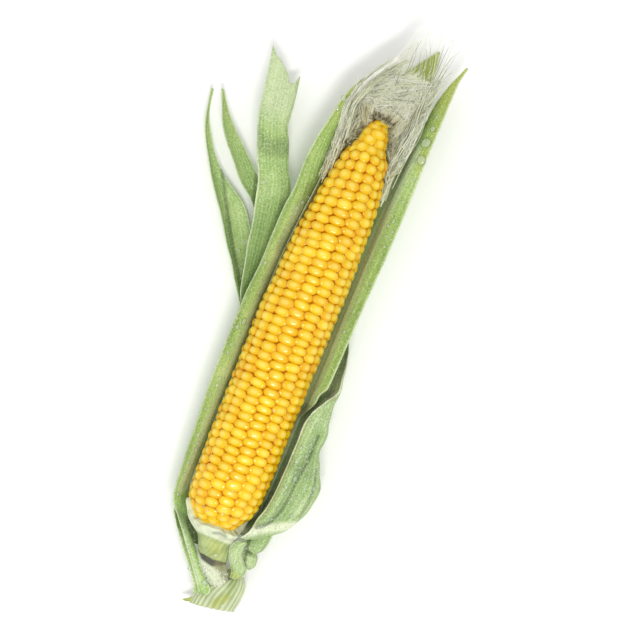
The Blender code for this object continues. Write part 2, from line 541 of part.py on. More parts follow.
def strand(points, name):
    """A silk strand: a three-sided tube that narrows to its tip."""
    rings = []
    for i, point in enumerate(points):
        size = STRAND_RADIUS * (1 - 0.3 * i / (len(points) - 1))
        ahead = (points[min(i + 1, len(points) - 1)] - points[max(i - 1, 0)]).normalized()
        side = ahead.cross(Vector((0, 0, 1))).normalized()
        up = side.cross(ahead)
        turns = [2 * math.pi * k / 3 for k in range(3)]
        rings.append([point + (side * math.cos(a) + up * math.sin(a)) * size for a in turns])
    return add_object(name, tube(rings), "silk")


def curve_points(points, count):
    """Points on a smooth curve through a few given ones."""
    through = [(i, *p) for i, p in enumerate(points)]
    return [Vector(along(through, t)) for t in np.linspace(0, len(points) - 1, count)]


def make_silk():
    """The tuft: a core under and beyond the ear's tip, and strands out of it."""
    core_rings = []
    for y, x, z, wide, high in SILK_CORE:
        points = ring(y, x, z, wide, high, SILK_SIDES)
        for i, point in enumerate(points):
            point += (point - Vector((x, y, z))).normalized() * SILK_RIDGE * (i % 2)
        core_rings.append(points)
    core = add_object("silk", tube(core_rings), "silk")
    draw = random.Random(SEED)
    strands = []
    for i, tip in enumerate(STRAND_TIPS):
        out = Vector(tip)
        root_y = min(128, out.y - 16)
        x, z, wide, high = along(SILK_CORE, root_y)
        turn = math.atan2(out.z - z, out.x - x)
        root = Vector((x + 0.7 * wide * math.cos(turn), root_y, z + 0.7 * high * math.sin(turn)))
        middle = root.lerp(out, 0.5) + Vector((draw.uniform(-1.5, 1.5), 0, draw.uniform(-1, 1)))
        strands.append(strand(curve_points((root, middle, out), 6), f"strand_{i}"))
    for i, route in enumerate(SIDE_STRANDS):
        strands.append(strand(curve_points(route, 9), f"side_{i}"))
    return join(core, strands)


def clear_scene():
    for obj in list(bpy.data.objects):
        bpy.data.objects.remove(obj)
    group = bpy.data.collections.new(COLLECTION)
    bpy.context.scene.collection.children.link(group)


def main():
    clear_scene()
    make_ear()
    make_shank()
    trough_husk("husk_inner", HUSK_INNER, 0.0, 9, "husk_pale")
    make_husk_left()
    trough_husk("husk_right", HUSK_RIGHT, 2 * LAYER, 8, "husk_green")
    level_rest_spot(trough_husk("husk_back", HUSK_BACK, BACK_OFFSET, 11, "husk_green"))
    make_husk_crumpled()
    make_leaf_wide()
    flank_leaf("leaf_narrow", LEAF_NARROW_FLANK, LEAF_NARROW, BACK_OFFSET + 2 * LAYER, 5)
    flank_leaf("leaf_folded", LEAF_FOLDED_FLANK, LEAF_FOLDED, BACK_OFFSET + 3.3 * LAYER, 6)
    free_leaf("base_curl", BASE_CURL, 12, 7, "husk_green")
    free_leaf("base_lobe", BASE_LOBE, 14, 7, "husk_green")
    make_silk()


main()
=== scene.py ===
"""The finished look of an ear of sweet corn that lies on its back in its opened husk.

The part's own frame is used throughout: the ear's axis runs along +Y with the silk at +Y, the bare kernels face +Z, and
z = 0 is the surface. Sizes are in millimetres here and become metres where a mesh or a position is made.
"""

from __future__ import annotations

import logging
import math
import random
from dataclasses import dataclass
from enum import Enum
from typing import Any, Iterable, Sequence

import bpy
import numpy as np
from mathutils import Euler, Matrix, Vector
from mathutils.bvhtree import BVHTree

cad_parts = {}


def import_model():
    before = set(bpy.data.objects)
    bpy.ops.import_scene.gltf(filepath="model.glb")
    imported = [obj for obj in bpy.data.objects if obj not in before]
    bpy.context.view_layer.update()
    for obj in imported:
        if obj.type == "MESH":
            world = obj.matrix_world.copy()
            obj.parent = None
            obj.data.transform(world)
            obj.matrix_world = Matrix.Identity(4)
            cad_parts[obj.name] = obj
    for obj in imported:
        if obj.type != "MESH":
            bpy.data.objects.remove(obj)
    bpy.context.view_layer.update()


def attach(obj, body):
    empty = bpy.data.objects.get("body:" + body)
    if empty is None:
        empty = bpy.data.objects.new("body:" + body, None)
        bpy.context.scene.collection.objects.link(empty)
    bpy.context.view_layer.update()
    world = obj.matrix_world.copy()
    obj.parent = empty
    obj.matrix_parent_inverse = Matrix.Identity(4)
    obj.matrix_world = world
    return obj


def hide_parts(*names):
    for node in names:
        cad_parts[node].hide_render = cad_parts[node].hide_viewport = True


LOG = logging.getLogger("corn")
MM = 0.001
BODY = "root"

Colour = tuple[float, float, float]
Table = Sequence[Sequence[float]]

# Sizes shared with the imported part
AXIS_HEIGHT = 23.7
LAYER = 1.25
SHEET = 0.8
BACK_OFFSET = 3 * LAYER + SHEET
CUP_RADIUS = 19.5
REST_HEIGHT = SHEET / 2
REST_SPOT = (-86, 18)
BESIDE_REST = 0.3
REST_EASE = 7
RUFFLE = 0.35
RUFFLE_PITCH = 21
FLARE_START = math.radians(72)
FLARE_END = math.radians(36)
FLARE_LENGTH = 7.0
FLARE_REACH = 16.0
LEAVING = (-16, 4)
STRAP_END = (-107, -101)
FLANK_START = (-107, -99)
TROUGH: Table = (
    (-118, 3.2, 20.8, 8.8), (-112, 1.6, 22.2, 10.2), (-107, 0.2, 23.0, 13.6), (-103, -0.2, 23.4, 16.2),
    (-98, 0.0, 23.6, 18.4), (-92, 0.0, AXIS_HEIGHT, CUP_RADIUS), (20, 0.0, AXIS_HEIGHT, CUP_RADIUS),
    (50, 1.5, AXIS_HEIGHT, 18.4), (80, 2.4, AXIS_HEIGHT, 17.6), (100, 3.2, AXIS_HEIGHT, 17.6),
    (120, 5.0, 22.6, 17.2), (148, 8.0, 21.0, 16.5),
)


def blend(low: float, high: float, value: Any) -> Any:
    """A smooth step.

    Args:
        low: Where the step starts.
        high: Where it ends.
        value: A number or an array.

    Returns:
        0 below low, 1 above high, smooth between.
    """
    share = np.clip((np.asarray(value, float) - low) / (high - low), 0.0, 1.0)
    return share * share * (3 - 2 * share)


def along(table: Table, y: float) -> np.ndarray:
    """Reads a table by a cubic through its rows that never overshoots them.

    Args:
        table: Rows whose first number is a position.
        y: The position that is wanted.

    Returns:
        The other numbers of the row at y.
    """
    rows = np.asarray(table, float)
    at, values = rows[:, 0], rows[:, 1:]
    step = np.diff(at)[:, None]
    slope = np.diff(values, axis=0) / step
    tangent = np.zeros_like(values)
    same_way = slope[:-1] * slope[1:] > 0
    total = np.where(same_way, slope[:-1] + slope[1:], 1)
    tangent[1:-1] = np.where(same_way, 2 * slope[:-1] * slope[1:] / total, 0)
    tangent[0], tangent[-1] = slope[0], slope[-1]
    i = int(np.clip(np.searchsorted(at, y) - 1, 0, len(at) - 2))
    h = at[i + 1] - at[i]
    t = float(np.clip((y - at[i]) / h, 0, 1))
    return (
        (2 * t**3 - 3 * t**2 + 1) * values[i]
        + (t**3 - 2 * t**2 + t) * h * tangent[i]
        + (3 * t**2 - 2 * t**3) * values[i + 1]
        + (t**3 - t**2) * h * tangent[i + 1]
    )


def curve(points: Sequence[Sequence[float]], count: int) -> np.ndarray:
    """Points evenly spread on a smooth curve.

    Args:
        points: The points that the curve passes through.
        count: How many points are wanted.

    Returns:
        An array of count points.
    """
    through = [(i, *p) for i, p in enumerate(points)]
    return np.array([along(through, t) for t in np.linspace(0, len(points) - 1, count)])


def trough_row(y: float, left: float, right: float, offset: float, count: int) -> np.ndarray:
    """Points across the husk trough.

    Args:
        y: Position along the ear.
        left: Sideways position of the row's start.
        right: Sideways position of its end.
        offset: How far outside the innermost layer the row lies.
        count: How many points are wanted.

    Returns:
        An array of count points, evenly spaced along the trough's section.
    """
    drift, height, radius = along(TROUGH, y)
    s = np.linspace(0, radius * FLARE_START + FLARE_REACH, 160)
    over = np.clip((s - radius * FLARE_START) / FLARE_LENGTH, 0, 1)
    angle = np.where(s < radius * FLARE_START, s / radius, FLARE_START - (FLARE_START - FLARE_END) * over)
    step = s[1] - s[0]
    x = np.concatenate([[0], np.cumsum(np.cos(angle[:-1]) * step)]) + np.sin(angle) * offset
    z = np.concatenate([[0], np.cumsum(np.sin(angle[:-1]) * step)]) - np.cos(angle) * offset - radius
    xs = np.concatenate([-x[:0:-1], x]) + drift
    past_rest = max(REST_SPOT[0] - y, y - REST_SPOT[1], 0)
    zs = np.maximum(np.concatenate([z[:0:-1], z]) + height, REST_HEIGHT + BESIDE_REST * min(past_rest / REST_EASE, 1))
    run = np.concatenate([[0], np.cumsum(np.hypot(np.diff(xs), np.diff(zs)))])
    at = np.linspace(np.interp(left, xs, run), np.interp(right, xs, run), count)
    return np.stack([np.interp(at, run, xs), np.full(count, y), np.interp(at, run, zs)], axis=1)


def free_row(table: Table, y: float, count: int) -> np.ndarray:
    """Points across a free leaf, bowed by its table's rise, with a ruffle that grows towards its edges.

    Args:
        table: Rows of position, left edge x and height, right edge x and height, and rise of the middle.
        y: Position along the ear.
        count: How many points are wanted.

    Returns:
        An array of count points.
    """
    left, left_height, right, right_height, rise = along(table, y)
    chord = np.array([right - left, 0, right_height - left_height])
    normal = np.array([-chord[2], 0, chord[0]])
    normal = normal / max(float(np.linalg.norm(normal)), 1e-9)
    t = np.linspace(0, 1, count)
    lift = rise * 4 * t * (1 - t) + RUFFLE * math.sin(2 * math.pi * y / RUFFLE_PITCH) * (2 * t - 1) ** 3
    return np.array([left, y, left_height]) + chord * t[:, None] + normal * lift[:, None]


def linear(red: float, green: float, blue: float) -> Colour:
    """A screen colour of 0 to 255 as a linear one."""
    shares = [c / 255 for c in (red, green, blue)]
    made = [c / 12.92 if c <= 0.04045 else ((c + 0.055) / 1.055) ** 2.4 for c in shares]
    return made[0], made[1], made[2]


# Node trees


class Sock:
    """A shader value that Python's operators work on: each adds a Math node to the tree that holds it."""

    def __init__(self, paint: "Paint", socket: bpy.types.NodeSocket) -> None:
        """Wraps an output socket of the paint's tree."""
        self.paint = paint
        self.socket = socket

    def _do(self, operation: str, *values: Any) -> "Sock":
        """One Math node.

        Args:
            operation: Its operation.
            values: Its inputs in order.

        Returns:
            Its value.
        """
        inputs = dict(enumerate(values))
        return self.paint.node("ShaderNodeMath", {"operation": operation}, inputs)

    def __add__(self, other: Any) -> "Sock":
        """self + other."""
        return self._do("ADD", self, other)

    def __radd__(self, other: Any) -> "Sock":
        """other + self."""
        return self._do("ADD", other, self)

    def __sub__(self, other: Any) -> "Sock":
        """self - other."""
        return self._do("SUBTRACT", self, other)

    def __rsub__(self, other: Any) -> "Sock":
        """other - self."""
        return self._do("SUBTRACT", other, self)

    def __mul__(self, other: Any) -> "Sock":
        """self * other."""
        return self._do("MULTIPLY", self, other)

    def __rmul__(self, other: Any) -> "Sock":
        """other * self."""
        return self._do("MULTIPLY", other, self)

    def between(self, low: float, high: float) -> "Sock":
        """0 where self is at low or below, 1 at high or above, smooth between."""
        settings = {"interpolation_type": "SMOOTHSTEP"}
        return self.paint.node("ShaderNodeMapRange", settings, {"Value": self, "From Min": low, "From Max": high})


class Paint:
    """A material in the making."""

    def __init__(self, name: str) -> None:
        """Starts a material with a plain Principled shader."""
        self.material = bpy.data.materials.new(name)
        self.material.use_nodes = True
        self.tree = self.material.node_tree
        self.shader = self.tree.nodes["Principled BSDF"]

    def node(self, kind: str, settings: dict | None = None, values: dict | None = None, out: Any = 0) -> Sock:
        """Adds a node.

        Args:
            kind: The node's type.
            settings: Its own settings, set before its sockets.
            values: A number, colour or Sock for each named or numbered input.
            out: The name or number of the output that is wanted.

        Returns:
            That output.
        """
        made = self.tree.nodes.new(kind)
        for key, value in (settings or {}).items():
            setattr(made, key, value)
        for key, value in (values or {}).items():
            self.feed(made.inputs[key], value)
        return Sock(self, made.outputs[out])

    def feed(self, socket: bpy.types.NodeSocket, value: Any) -> None:
        """Sets a socket to a constant or links it to a Sock."""
        if isinstance(value, Sock):
            self.tree.links.new(value.socket, socket)
        elif isinstance(value, tuple) and len(value) == 3 and socket.type == "RGBA":
            socket.default_value = (*value, 1)
        else:
            socket.default_value = value

    def dress(self, **values: Any) -> bpy.types.Material:
        """Sets the shader's own sockets.

        Args:
            values: A value for each socket, whose name has its spaces as underscores.

        Returns:
            The finished material.
        """
        for key, value in values.items():
            self.feed(self.shader.inputs[key.replace("_", " ")], value)
        return self.material

    def attribute(self, name: str) -> Sock:
        """A number that the mesh carries."""
        return self.node("ShaderNodeAttribute", {"attribute_name": name}, out="Fac")

    def stretched(self, x: float, y: float, z: float = 1.0, where: str = "UV") -> Sock:
        """Coordinates that are scaled differently each way.

        Args:
            x: Scale of the first.
            y: Scale of the second.
            z: Scale of the third.
            where: UV for the leaf's own map, Object for the part's frame.

        Returns:
            The scaled vector.
        """
        place = self.node("ShaderNodeTexCoord", out=where)
        return self.node("ShaderNodeVectorMath", {"operation": "MULTIPLY"}, {0: place, 1: (x, y, z)})

    def noise(self, vector: Sock, scale: float, detail: float = 2.0, rough: float = 0.5) -> Sock:
        """A noise of about 0 to 1 over the vector."""
        return self.node(
            "ShaderNodeTexNoise", None, {"Vector": vector, "Scale": scale, "Detail": detail, "Roughness": rough}
        )

    def mix(self, first: Any, second: Any, share: Any) -> Sock:
        """A colour between two.

        Args:
            first: The colour at share 0.
            second: The colour at share 1.
            share: The share of the second.

        Returns:
            The mixed colour.
        """
        settings = {"data_type": "RGBA", "clamp_factor": True}
        return self.node("ShaderNodeMix", settings, {0: share, 6: first, 7: second}, out=2)

    def bump(self, height: Sock, distance: float, strength: float = 1.0) -> Sock:
        """A normal from a height of 0 to 1, with the depth in millimetres."""
        return self.node("ShaderNodeBump", None, {"Height": height, "Distance": distance * MM, "Strength": strength})


class Growth:
    """A Geometry Nodes tree with named inputs, which turns a source object into a plain mesh."""

    def __init__(self, name: str) -> None:
        """Starts a tree that takes and gives geometry."""
        self.tree = bpy.data.node_groups.new(name, "GeometryNodeTree")
        self.tree.interface.new_socket("Geometry", in_out="INPUT", socket_type="NodeSocketGeometry")
        self.tree.interface.new_socket("Geometry", in_out="OUTPUT", socket_type="NodeSocketGeometry")
        self.given = self.tree.nodes.new("NodeGroupInput")
        self.result = self.tree.nodes.new("NodeGroupOutput")
        self.source = self.given.outputs[0]
        self.named: dict[str, str] = {}

    def ask(self, label: str, kind: str, default: Any = None) -> bpy.types.NodeSocket:
        """Adds a named input.

        Args:
            label: Its name.
            kind: Its socket type without NodeSocket.
            default: Its value when none is given.

        Returns:
            The socket that carries it inside the tree.
        """
        item = self.tree.interface.new_socket(label, in_out="INPUT", socket_type="NodeSocket" + kind)
        if default is not None:
            item.default_value = default
        self.named[label] = item.identifier
        return self.given.outputs[label]

    def node(self, kind: str, settings: dict | None = None, values: dict | None = None, out: Any = 0) -> Any:
        """Adds a node.

        Args:
            kind: The node's type.
            settings: Its own settings.
            values: A constant or an output socket for each named or numbered input.
            out: The name or number of the output that is wanted.

        Returns:
            That output socket.
        """
        made = self.tree.nodes.new(kind)
        for key, value in (settings or {}).items():
            setattr(made, key, value)
        for key, value in (values or {}).items():
            if isinstance(value, bpy.types.NodeSocket):
                self.tree.links.new(value, made.inputs[key])
            else:
                made.inputs[key].default_value = value
        return made.outputs[out]

    def carried(self, name: str, kind: str) -> Any:
        """A value that the source's points carry."""
        return self.node("GeometryNodeInputNamedAttribute", {"data_type": kind}, {"Name": name})

    def end(self, geometry: Any, material: Any) -> None:
        """Closes the tree with real geometry in one material."""
        real = self.node("GeometryNodeRealizeInstances", None, {"Geometry": geometry})
        dressed = self.node("GeometryNodeSetMaterial", None, {"Geometry": real, "Material": material})
        self.tree.links.new(dressed, self.result.inputs[0])

    def grow(self, name: str, source: bpy.types.Object, **values: Any) -> bpy.types.Object:
        """Runs the tree on a source object.

        Args:
            name: The name of the new object.
            source: The object whose points or edges the tree reads. It is removed.
            values: A value for each named input.

        Returns:
            A new object with a plain mesh.
        """
        modifier = source.modifiers.new(name, "NODES")
        modifier.node_group = self.tree
        for label, value in values.items():
            modifier[self.named[label]] = value
        bpy.context.view_layer.update()
        graph = bpy.context.evaluated_depsgraph_get()
        mesh = bpy.data.meshes.new_from_object(source.evaluated_get(graph), depsgraph=graph)
        source.modifiers.remove(modifier)
        bpy.data.objects.remove(source)
        mesh.name = name
        made = bpy.data.objects.new(name, mesh)
        bpy.context.scene.collection.objects.link(made)
        mesh.shade_smooth()
        return made


# Meshes


@dataclass
class Patch:
    """Points in millimetres, faces, and the numbers that each point carries."""

    points: np.ndarray
    faces: list
    carried: dict[str, np.ndarray]
    flat: np.ndarray | None = None

    def object(self, name: str, materials: Sequence[bpy.types.Material] = ()) -> bpy.types.Object:
        """Makes a Blender object, smooth and with its place in its mesh.

        Args:
            name: The object's name.
            materials: Its materials.

        Returns:
            The object.
        """
        mesh = bpy.data.meshes.new(name)
        mesh.from_pydata((self.points * MM).tolist(), [], self.faces)
        for key, values in self.carried.items():
            vector = values.ndim == 2
            layer = mesh.attributes.new(key, "FLOAT_VECTOR" if vector else "FLOAT", "POINT")
            layer.data.foreach_set("vector" if vector else "value", values.astype(np.float32).ravel())
        if self.flat is not None and self.faces:
            corner = np.zeros(len(mesh.loops), np.int32)
            mesh.loops.foreach_get("vertex_index", corner)
            mesh.uv_layers.new(name="leaf").data.foreach_set("uv", self.flat[corner].astype(np.float32).ravel())
        for material in materials:
            mesh.materials.append(material)
        mesh.shade_smooth()
        made = bpy.data.objects.new(name, mesh)
        bpy.context.scene.collection.objects.link(made)
        return made


def normals_of(grid: np.ndarray) -> np.ndarray:
    """Unit normals of a grid of points, across times along."""
    across = np.gradient(grid, axis=1)
    length = np.gradient(grid, axis=0)
    normal = np.cross(across, length)
    return normal / np.maximum(np.linalg.norm(normal, axis=2, keepdims=True), 1e-9)


def shell(grid: np.ndarray, thickness: np.ndarray, carried: dict[str, np.ndarray], flat: np.ndarray) -> Patch:
    """A closed leaf blade about a grid of points.

    Args:
        grid: Rows of points along the leaf, each across it.
        thickness: The blade's thickness at each point.
        carried: A number at each point for each name.
        flat: Each point's place on the flattened leaf.

    Returns:
        The blade's two sides and its rim.
    """
    rows, columns = grid.shape[:2]
    half = normals_of(grid) * thickness[..., None] / 2
    points = np.concatenate([(grid + half).reshape(-1, 3), (grid - half).reshape(-1, 3)])
    index = np.arange(rows * columns).reshape(rows, columns)
    a, b, c, d = index[:-1, :-1], index[:-1, 1:], index[1:, 1:], index[1:, :-1]
    top = np.stack([a, b, c, d], axis=-1).reshape(-1, 4)
    bottom = top[:, ::-1] + rows * columns
    border = np.concatenate([index[0, :], index[1:, -1], index[-1, -2::-1], index[-2:0:-1, 0]])
    after = np.roll(border, -1)
    rim = np.stack([border, border + rows * columns, after + rows * columns, after], axis=-1)
    doubled = {key: np.concatenate([value.ravel()] * 2) for key, value in carried.items()}
    both = np.concatenate([flat.reshape(-1, 2)] * 2)
    return Patch(points, np.concatenate([top, bottom, rim]).tolist(), doubled, both)


def tube(rings: np.ndarray, carried: dict[str, np.ndarray]) -> Patch:
    """A body with filled ends through rings of points that run counterclockwise seen from its start.

    Args:
        rings: Rings of points along the body.
        carried: A number at each point for each name.

    Returns:
        The body.
    """
    count, sides = rings.shape[:2]
    index = np.arange(count * sides).reshape(count, sides)
    after = np.roll(index, -1, axis=1)
    wall = np.stack([index[:-1], index[1:], after[1:], after[:-1]], axis=-1).reshape(-1, 4).tolist()
    ends = [index[0].tolist(), index[-1][::-1].tolist()]
    flat = np.stack(np.meshgrid(np.linspace(0, 1, sides), np.linspace(0, 1, count)), axis=-1)
    return Patch(rings.reshape(-1, 3), wall + ends, {k: v.ravel() for k, v in carried.items()}, flat.reshape(-1, 2))


def domed(rings: Sequence[np.ndarray], top: Sequence[float]) -> tuple[np.ndarray, list]:
    """A body through level rings, closed below and drawn to a point on top.

    Args:
        rings: Rings of points from the lowest up.
        top: The point that closes it.

    Returns:
        Its points and its faces.
    """
    sides = len(rings[0])
    points = np.concatenate([*rings, [top]])
    index = np.arange(len(rings) * sides).reshape(-1, sides)
    after = np.roll(index, -1, axis=1)
    faces = np.stack([index[:-1], after[:-1], after[1:], index[1:]], axis=-1).reshape(-1, 4).tolist()
    faces += [[int(a), int(b), len(points) - 1] for a, b in zip(index[-1], after[-1])]
    faces.append(index[0][::-1].tolist())
    return points, faces


def line_distance(points: np.ndarray, line: Sequence[Sequence[float]]) -> np.ndarray:
    """How far each point is, seen from above, from a line.

    Args:
        points: An array of points.
        line: The line's corners, as x and y.

    Returns:
        A distance in millimetres for each point.
    """
    flat = points[..., :2]
    best = np.full(flat.shape[:-1], 1e9)
    for start, end in zip(line[:-1], line[1:]):
        a, b = np.array(start, float), np.array(end, float)
        run = b - a
        t = np.clip(((flat - a) @ run) / max(float(run @ run), 1e-9), 0, 1)
        best = np.minimum(best, np.linalg.norm(flat - a - t[..., None] * run, axis=-1))
    return best


def waves(points: np.ndarray, scale: float, seed: int) -> np.ndarray:
    """A smooth random field of about -1 to 1.

    Args:
        points: An array of points.
        scale: The size of its features in millimetres.
        seed: What fixes the draw.

    Returns:
        A value for each point.
    """
    draw = np.random.default_rng(seed)
    total = np.zeros(points.shape[:-1])
    for _ in range(7):
        way = draw.normal(size=3)
        way = way / np.linalg.norm(way) * draw.uniform(0.6, 1.5) * 2 * math.pi / scale
        total += np.sin(points @ way + draw.uniform(0, 2 * math.pi))
    return total / 3.2


def joined(name: str, parts: Sequence[bpy.types.Object]) -> bpy.types.Object:
    """One object from several, with their materials.

    Args:
        name: The new object's name.
        parts: The objects. They are used up.

    Returns:
        The joined object.
    """
    with bpy.context.temp_override(active_object=parts[0], selected_editable_objects=list(parts)):
        bpy.ops.object.join()
    parts[0].name = name
    parts[0].data.name = name
    return parts[0]


def place(piece: bpy.types.Object, nodes: Iterable[str], slot: str) -> bpy.types.Object:
    """Hands a finished piece to the frame.

    Args:
        piece: The piece.
        nodes: The solids that it stands for.
        slot: The record's material slot.

    Returns:
        The piece.
    """
    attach(piece, BODY)
    names = list(nodes)
    if names:
        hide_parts(*names)
    LOG.info("%s: %d faces, %s", piece.name, len(piece.data.polygons), slot)
    return piece


# Finishes


class Tone(Enum):
    """What a mark on a leaf does to its colour."""

    # Painted shade: darkens folds, creases, crevices, turned-away edges and where a leaf lies under another.
    DARK = "dark"
    # A paler tone: the leaf's own on margins and tips, and painted light where it lightens a shaded inner wall.
    PALE = "pale"
    YELLOW = "yellow"
    # Painted shade in grey-brown: the deep gap beside the kernels and a fold's shaded inner side.
    BROWN = "brown"


@dataclass(frozen=True)
class Mark:
    """A line on a leaf, seen from above, with its half width and strength."""

    tone: Tone
    width: float
    strength: float
    line: tuple[tuple[float, float], ...]


@dataclass(frozen=True)
class LeafFinish:
    """Leaf skin: lengthwise streaks of three greens and paler veins, with painted shade in folds and gaps and painted
    light on shaded inner walls.
    """

    name: str
    dark: Colour = linear(108, 148, 74)
    mid: Colour = linear(158, 192, 106)
    light: Colour = linear(204, 224, 150)
    pale: Colour = linear(232, 236, 208)
    roughness: float = 0.55

    def material(self) -> bpy.types.Material:
        """The leaf material."""
        paint = Paint(self.name)
        fine = paint.noise(paint.stretched(2400, 45), 1.0, 3.0, 0.65)
        broad = paint.noise(paint.stretched(330, 14), 1.0, 2.0)
        grain = paint.noise(paint.stretched(1, 1, 1, "Object"), 1250, 2.0, 0.7)
        patch = paint.noise(paint.stretched(1, 1, 1, "Object"), 48, 3.0)
        vein = paint.attribute("vein")
        colour = paint.mix(self.mid, self.dark, fine.between(0.42, 0.72) * 0.38 + broad.between(0.5, 0.85) * 0.55)
        colour = paint.mix(colour, self.light, broad.between(0.5, 0.25) * 0.35 + patch.between(0.48, 0.72) * 0.45)
        colour = paint.mix(colour, self.dark, patch.between(0.45, 0.25) * 0.5)
        colour = paint.mix(colour, self.light, vein * fine * 0.55)
        colour = paint.mix(colour, linear(182, 186, 66), paint.attribute("yellow") * 0.8)
        # Paler: the leaf's own pale margins and tips, and painted light on inner walls that lie in shade.
        colour = paint.mix(colour, self.pale, paint.attribute("pale") * (0.7 + 0.3 * fine))
        # Painted shade: dark in folds, creases, crevices and where a leaf turns away or lies under another, plus a thin
        # dark line inside each margin.
        colour = paint.mix(colour, linear(58, 70, 46), paint.attribute("dark") * (0.65 + 0.4 * fine))
        # Painted shade in grey-brown: the deep gap beside the kernels and a fold's shaded inner side.
        colour = paint.mix(colour, linear(128, 114, 84), paint.attribute("brown") * 0.8)
        colour = paint.mix(colour, linear(236, 244, 216), grain.between(0.52, 0.70) * 0.45)
        colour = paint.mix(colour, linear(84, 112, 58), grain.between(0.48, 0.30) * 0.45)
        height = fine * 0.7 + vein * 0.3
        return paint.dress(
            Base_Color=colour, Roughness=self.roughness + 0.18 * fine, Normal=paint.bump(height, 0.16),
            Specular_IOR_Level=0.3
        )


@dataclass(frozen=True)
class KernelFinish:
    """Sweet corn skin: yellow crowns under a clear gloss, darkening to orange towards the roots as painted shade
    between kernels, with a painted highlight on each crown.
    """

    name: str = "kernel_skin"
    crown: Colour = linear(229, 190, 0)
    # side and root paint the shade down each kernel's flanks and in the gaps between kernels.
    side: Colour = linear(216, 150, 0)
    root: Colour = linear(198, 118, 4)

    def material(self) -> bpy.types.Material:
        """The kernel material."""
        paint = Paint(self.name)
        crown = paint.attribute("crown")
        tint = paint.attribute("tint")
        cloud = paint.noise(paint.stretched(1, 1, 1, "Object"), 420, 2.0)
        # Painted shade: the colour darkens from the yellow crown down the flanks to deep orange at the root.
        body = paint.mix(self.side, self.crown, crown.between(0.45, 0.90) * (0.55 + 0.7 * cloud))
        body = paint.mix(self.root, body, crown.between(0.15, 0.62))
        body = paint.mix(body, linear(226, 152, 0), tint.between(0.6, 1.0) * 0.32)
        body = paint.mix(body, linear(252, 214, 40), tint.between(0.4, 0.0) * 0.5 * crown)
        # Painted highlight: a pale patch on top of each crown.
        body = paint.mix(body, linear(255, 238, 140), crown.between(0.90, 1.0) * 0.35)
        return paint.dress(
            Base_Color=body, Roughness=0.36 + 0.12 * cloud, Coat_Weight=0.8, Coat_Roughness=0.15, Coat_IOR=1.52,
            Specular_IOR_Level=0.0,
        )


@dataclass(frozen=True)
class CobFinish:
    """The cob between the kernels' roots, deep orange as painted shade in the gaps between kernels."""

    name: str = "cob_core"

    def material(self) -> bpy.types.Material:
        """The cob material."""
        paint = Paint(self.name)
        cloud = paint.noise(paint.stretched(1, 1, 1, "Object"), 300, 3.0)
        # Painted shade: deep orange like the kernels' shaded roots, so the gaps between kernels read dark.
        colour = paint.mix(linear(176, 96, 8), linear(224, 150, 14), cloud)
        return paint.dress(Base_Color=colour, Roughness=0.6, Normal=paint.bump(cloud, 0.3))


@dataclass(frozen=True)
class SilkFinish:
    """Silk threads: pale green to white, some grey or yellow-brown."""

    name: str = "silk_thread"
    pale: Colour = linear(255, 255, 244)
    green: Colour = linear(236, 240, 204)
    grey: Colour = linear(104, 104, 82)

    def material(self) -> bpy.types.Material:
        """The silk material."""
        paint = Paint(self.name)
        tone = paint.attribute("tone")
        streak = paint.noise(paint.stretched(1, 1, 1, "Object"), 900, 2.0)
        colour = paint.mix(self.pale, self.green, tone.between(0.2, 0.65) * (0.6 + 0.6 * streak))
        colour = paint.mix(colour, self.grey, tone.between(0.86, 0.98) * 0.85)
        colour = paint.mix(colour, linear(204, 186, 88), paint.attribute("yellow") * 0.8)
        # Brown: dried silk round the ear's tip, partly painted shade in the gaps beside it.
        colour = paint.mix(colour, linear(70, 44, 28), paint.attribute("brown"))
        return paint.dress(Base_Color=colour, Roughness=0.42 + 0.2 * streak, Specular_IOR_Level=0.4)


@dataclass(frozen=True)
class StalkFinish:
    """Stalk skin: green over cream, with lengthwise fibres, and painted shade where the mesh carries dark or brown."""

    name: str = "stalk_skin"
    green: Colour = linear(128, 150, 76)
    cream: Colour = linear(218, 226, 196)

    def material(self) -> bpy.types.Material:
        """The stalk material."""
        paint = Paint(self.name)
        fibre = paint.noise(paint.stretched(900, 60, 900, "Object"), 1.0, 3.0, 0.6)
        cloud = paint.noise(paint.stretched(1, 1, 1, "Object"), 160, 3.0)
        vein = paint.attribute("vein")
        colour = paint.mix(self.green, linear(166, 184, 108), cloud.between(0.4, 0.7))
        colour = paint.mix(colour, self.cream, paint.attribute("pale") * (0.7 + 0.5 * fibre))
        colour = paint.mix(colour, linear(170, 178, 134), fibre.between(0.5, 0.75) * 0.5)
        colour = paint.mix(colour, linear(226, 230, 196), vein * 0.3)
        colour = paint.mix(colour, linear(128, 140, 92), paint.attribute("groove") * (0.2 + 0.5 * fibre))
        colour = paint.mix(colour, linear(184, 184, 70), paint.attribute("yellow") * 0.7)
        # Painted shade and shadow: in creases, inside the cup, under the cup's torn edge and where the pith meets the
        # stub.
        colour = paint.mix(colour, linear(44, 44, 34), paint.attribute("dark") * 0.9)
        # Painted shade in grey-brown: on the cup rim's crinkles and the pith's shoulder.
        colour = paint.mix(colour, linear(140, 132, 96), paint.attribute("brown") * 0.8)
        return paint.dress(
            Base_Color=colour, Roughness=0.5 + 0.2 * fibre, Normal=paint.bump(fibre, 0.3), Specular_IOR_Level=0.3
        )


@dataclass(frozen=True)
class WaterFinish:
    """Water, see-through, with a pale middle as a painted glint and a dark rim as painted shade of its refracted edge.
    """

    name: str = "water"

    def material(self) -> bpy.types.Material:
        """The water material."""
        paint = Paint(self.name)
        rim = paint.attribute("rim").between(0.6, 1.0)
        # Painted light and shade: a near-white middle stands for the drop's glint, a dark green rim for its refracted
        # edge.
        colour = paint.mix((0.94, 1.0, 0.9), linear(66, 98, 56), rim)
        return paint.dress(
            Base_Color=colour, Roughness=0.05, Alpha=0.22 + 0.4 * rim, Coat_Weight=1.0, Coat_Roughness=0.03
        )


# The ear


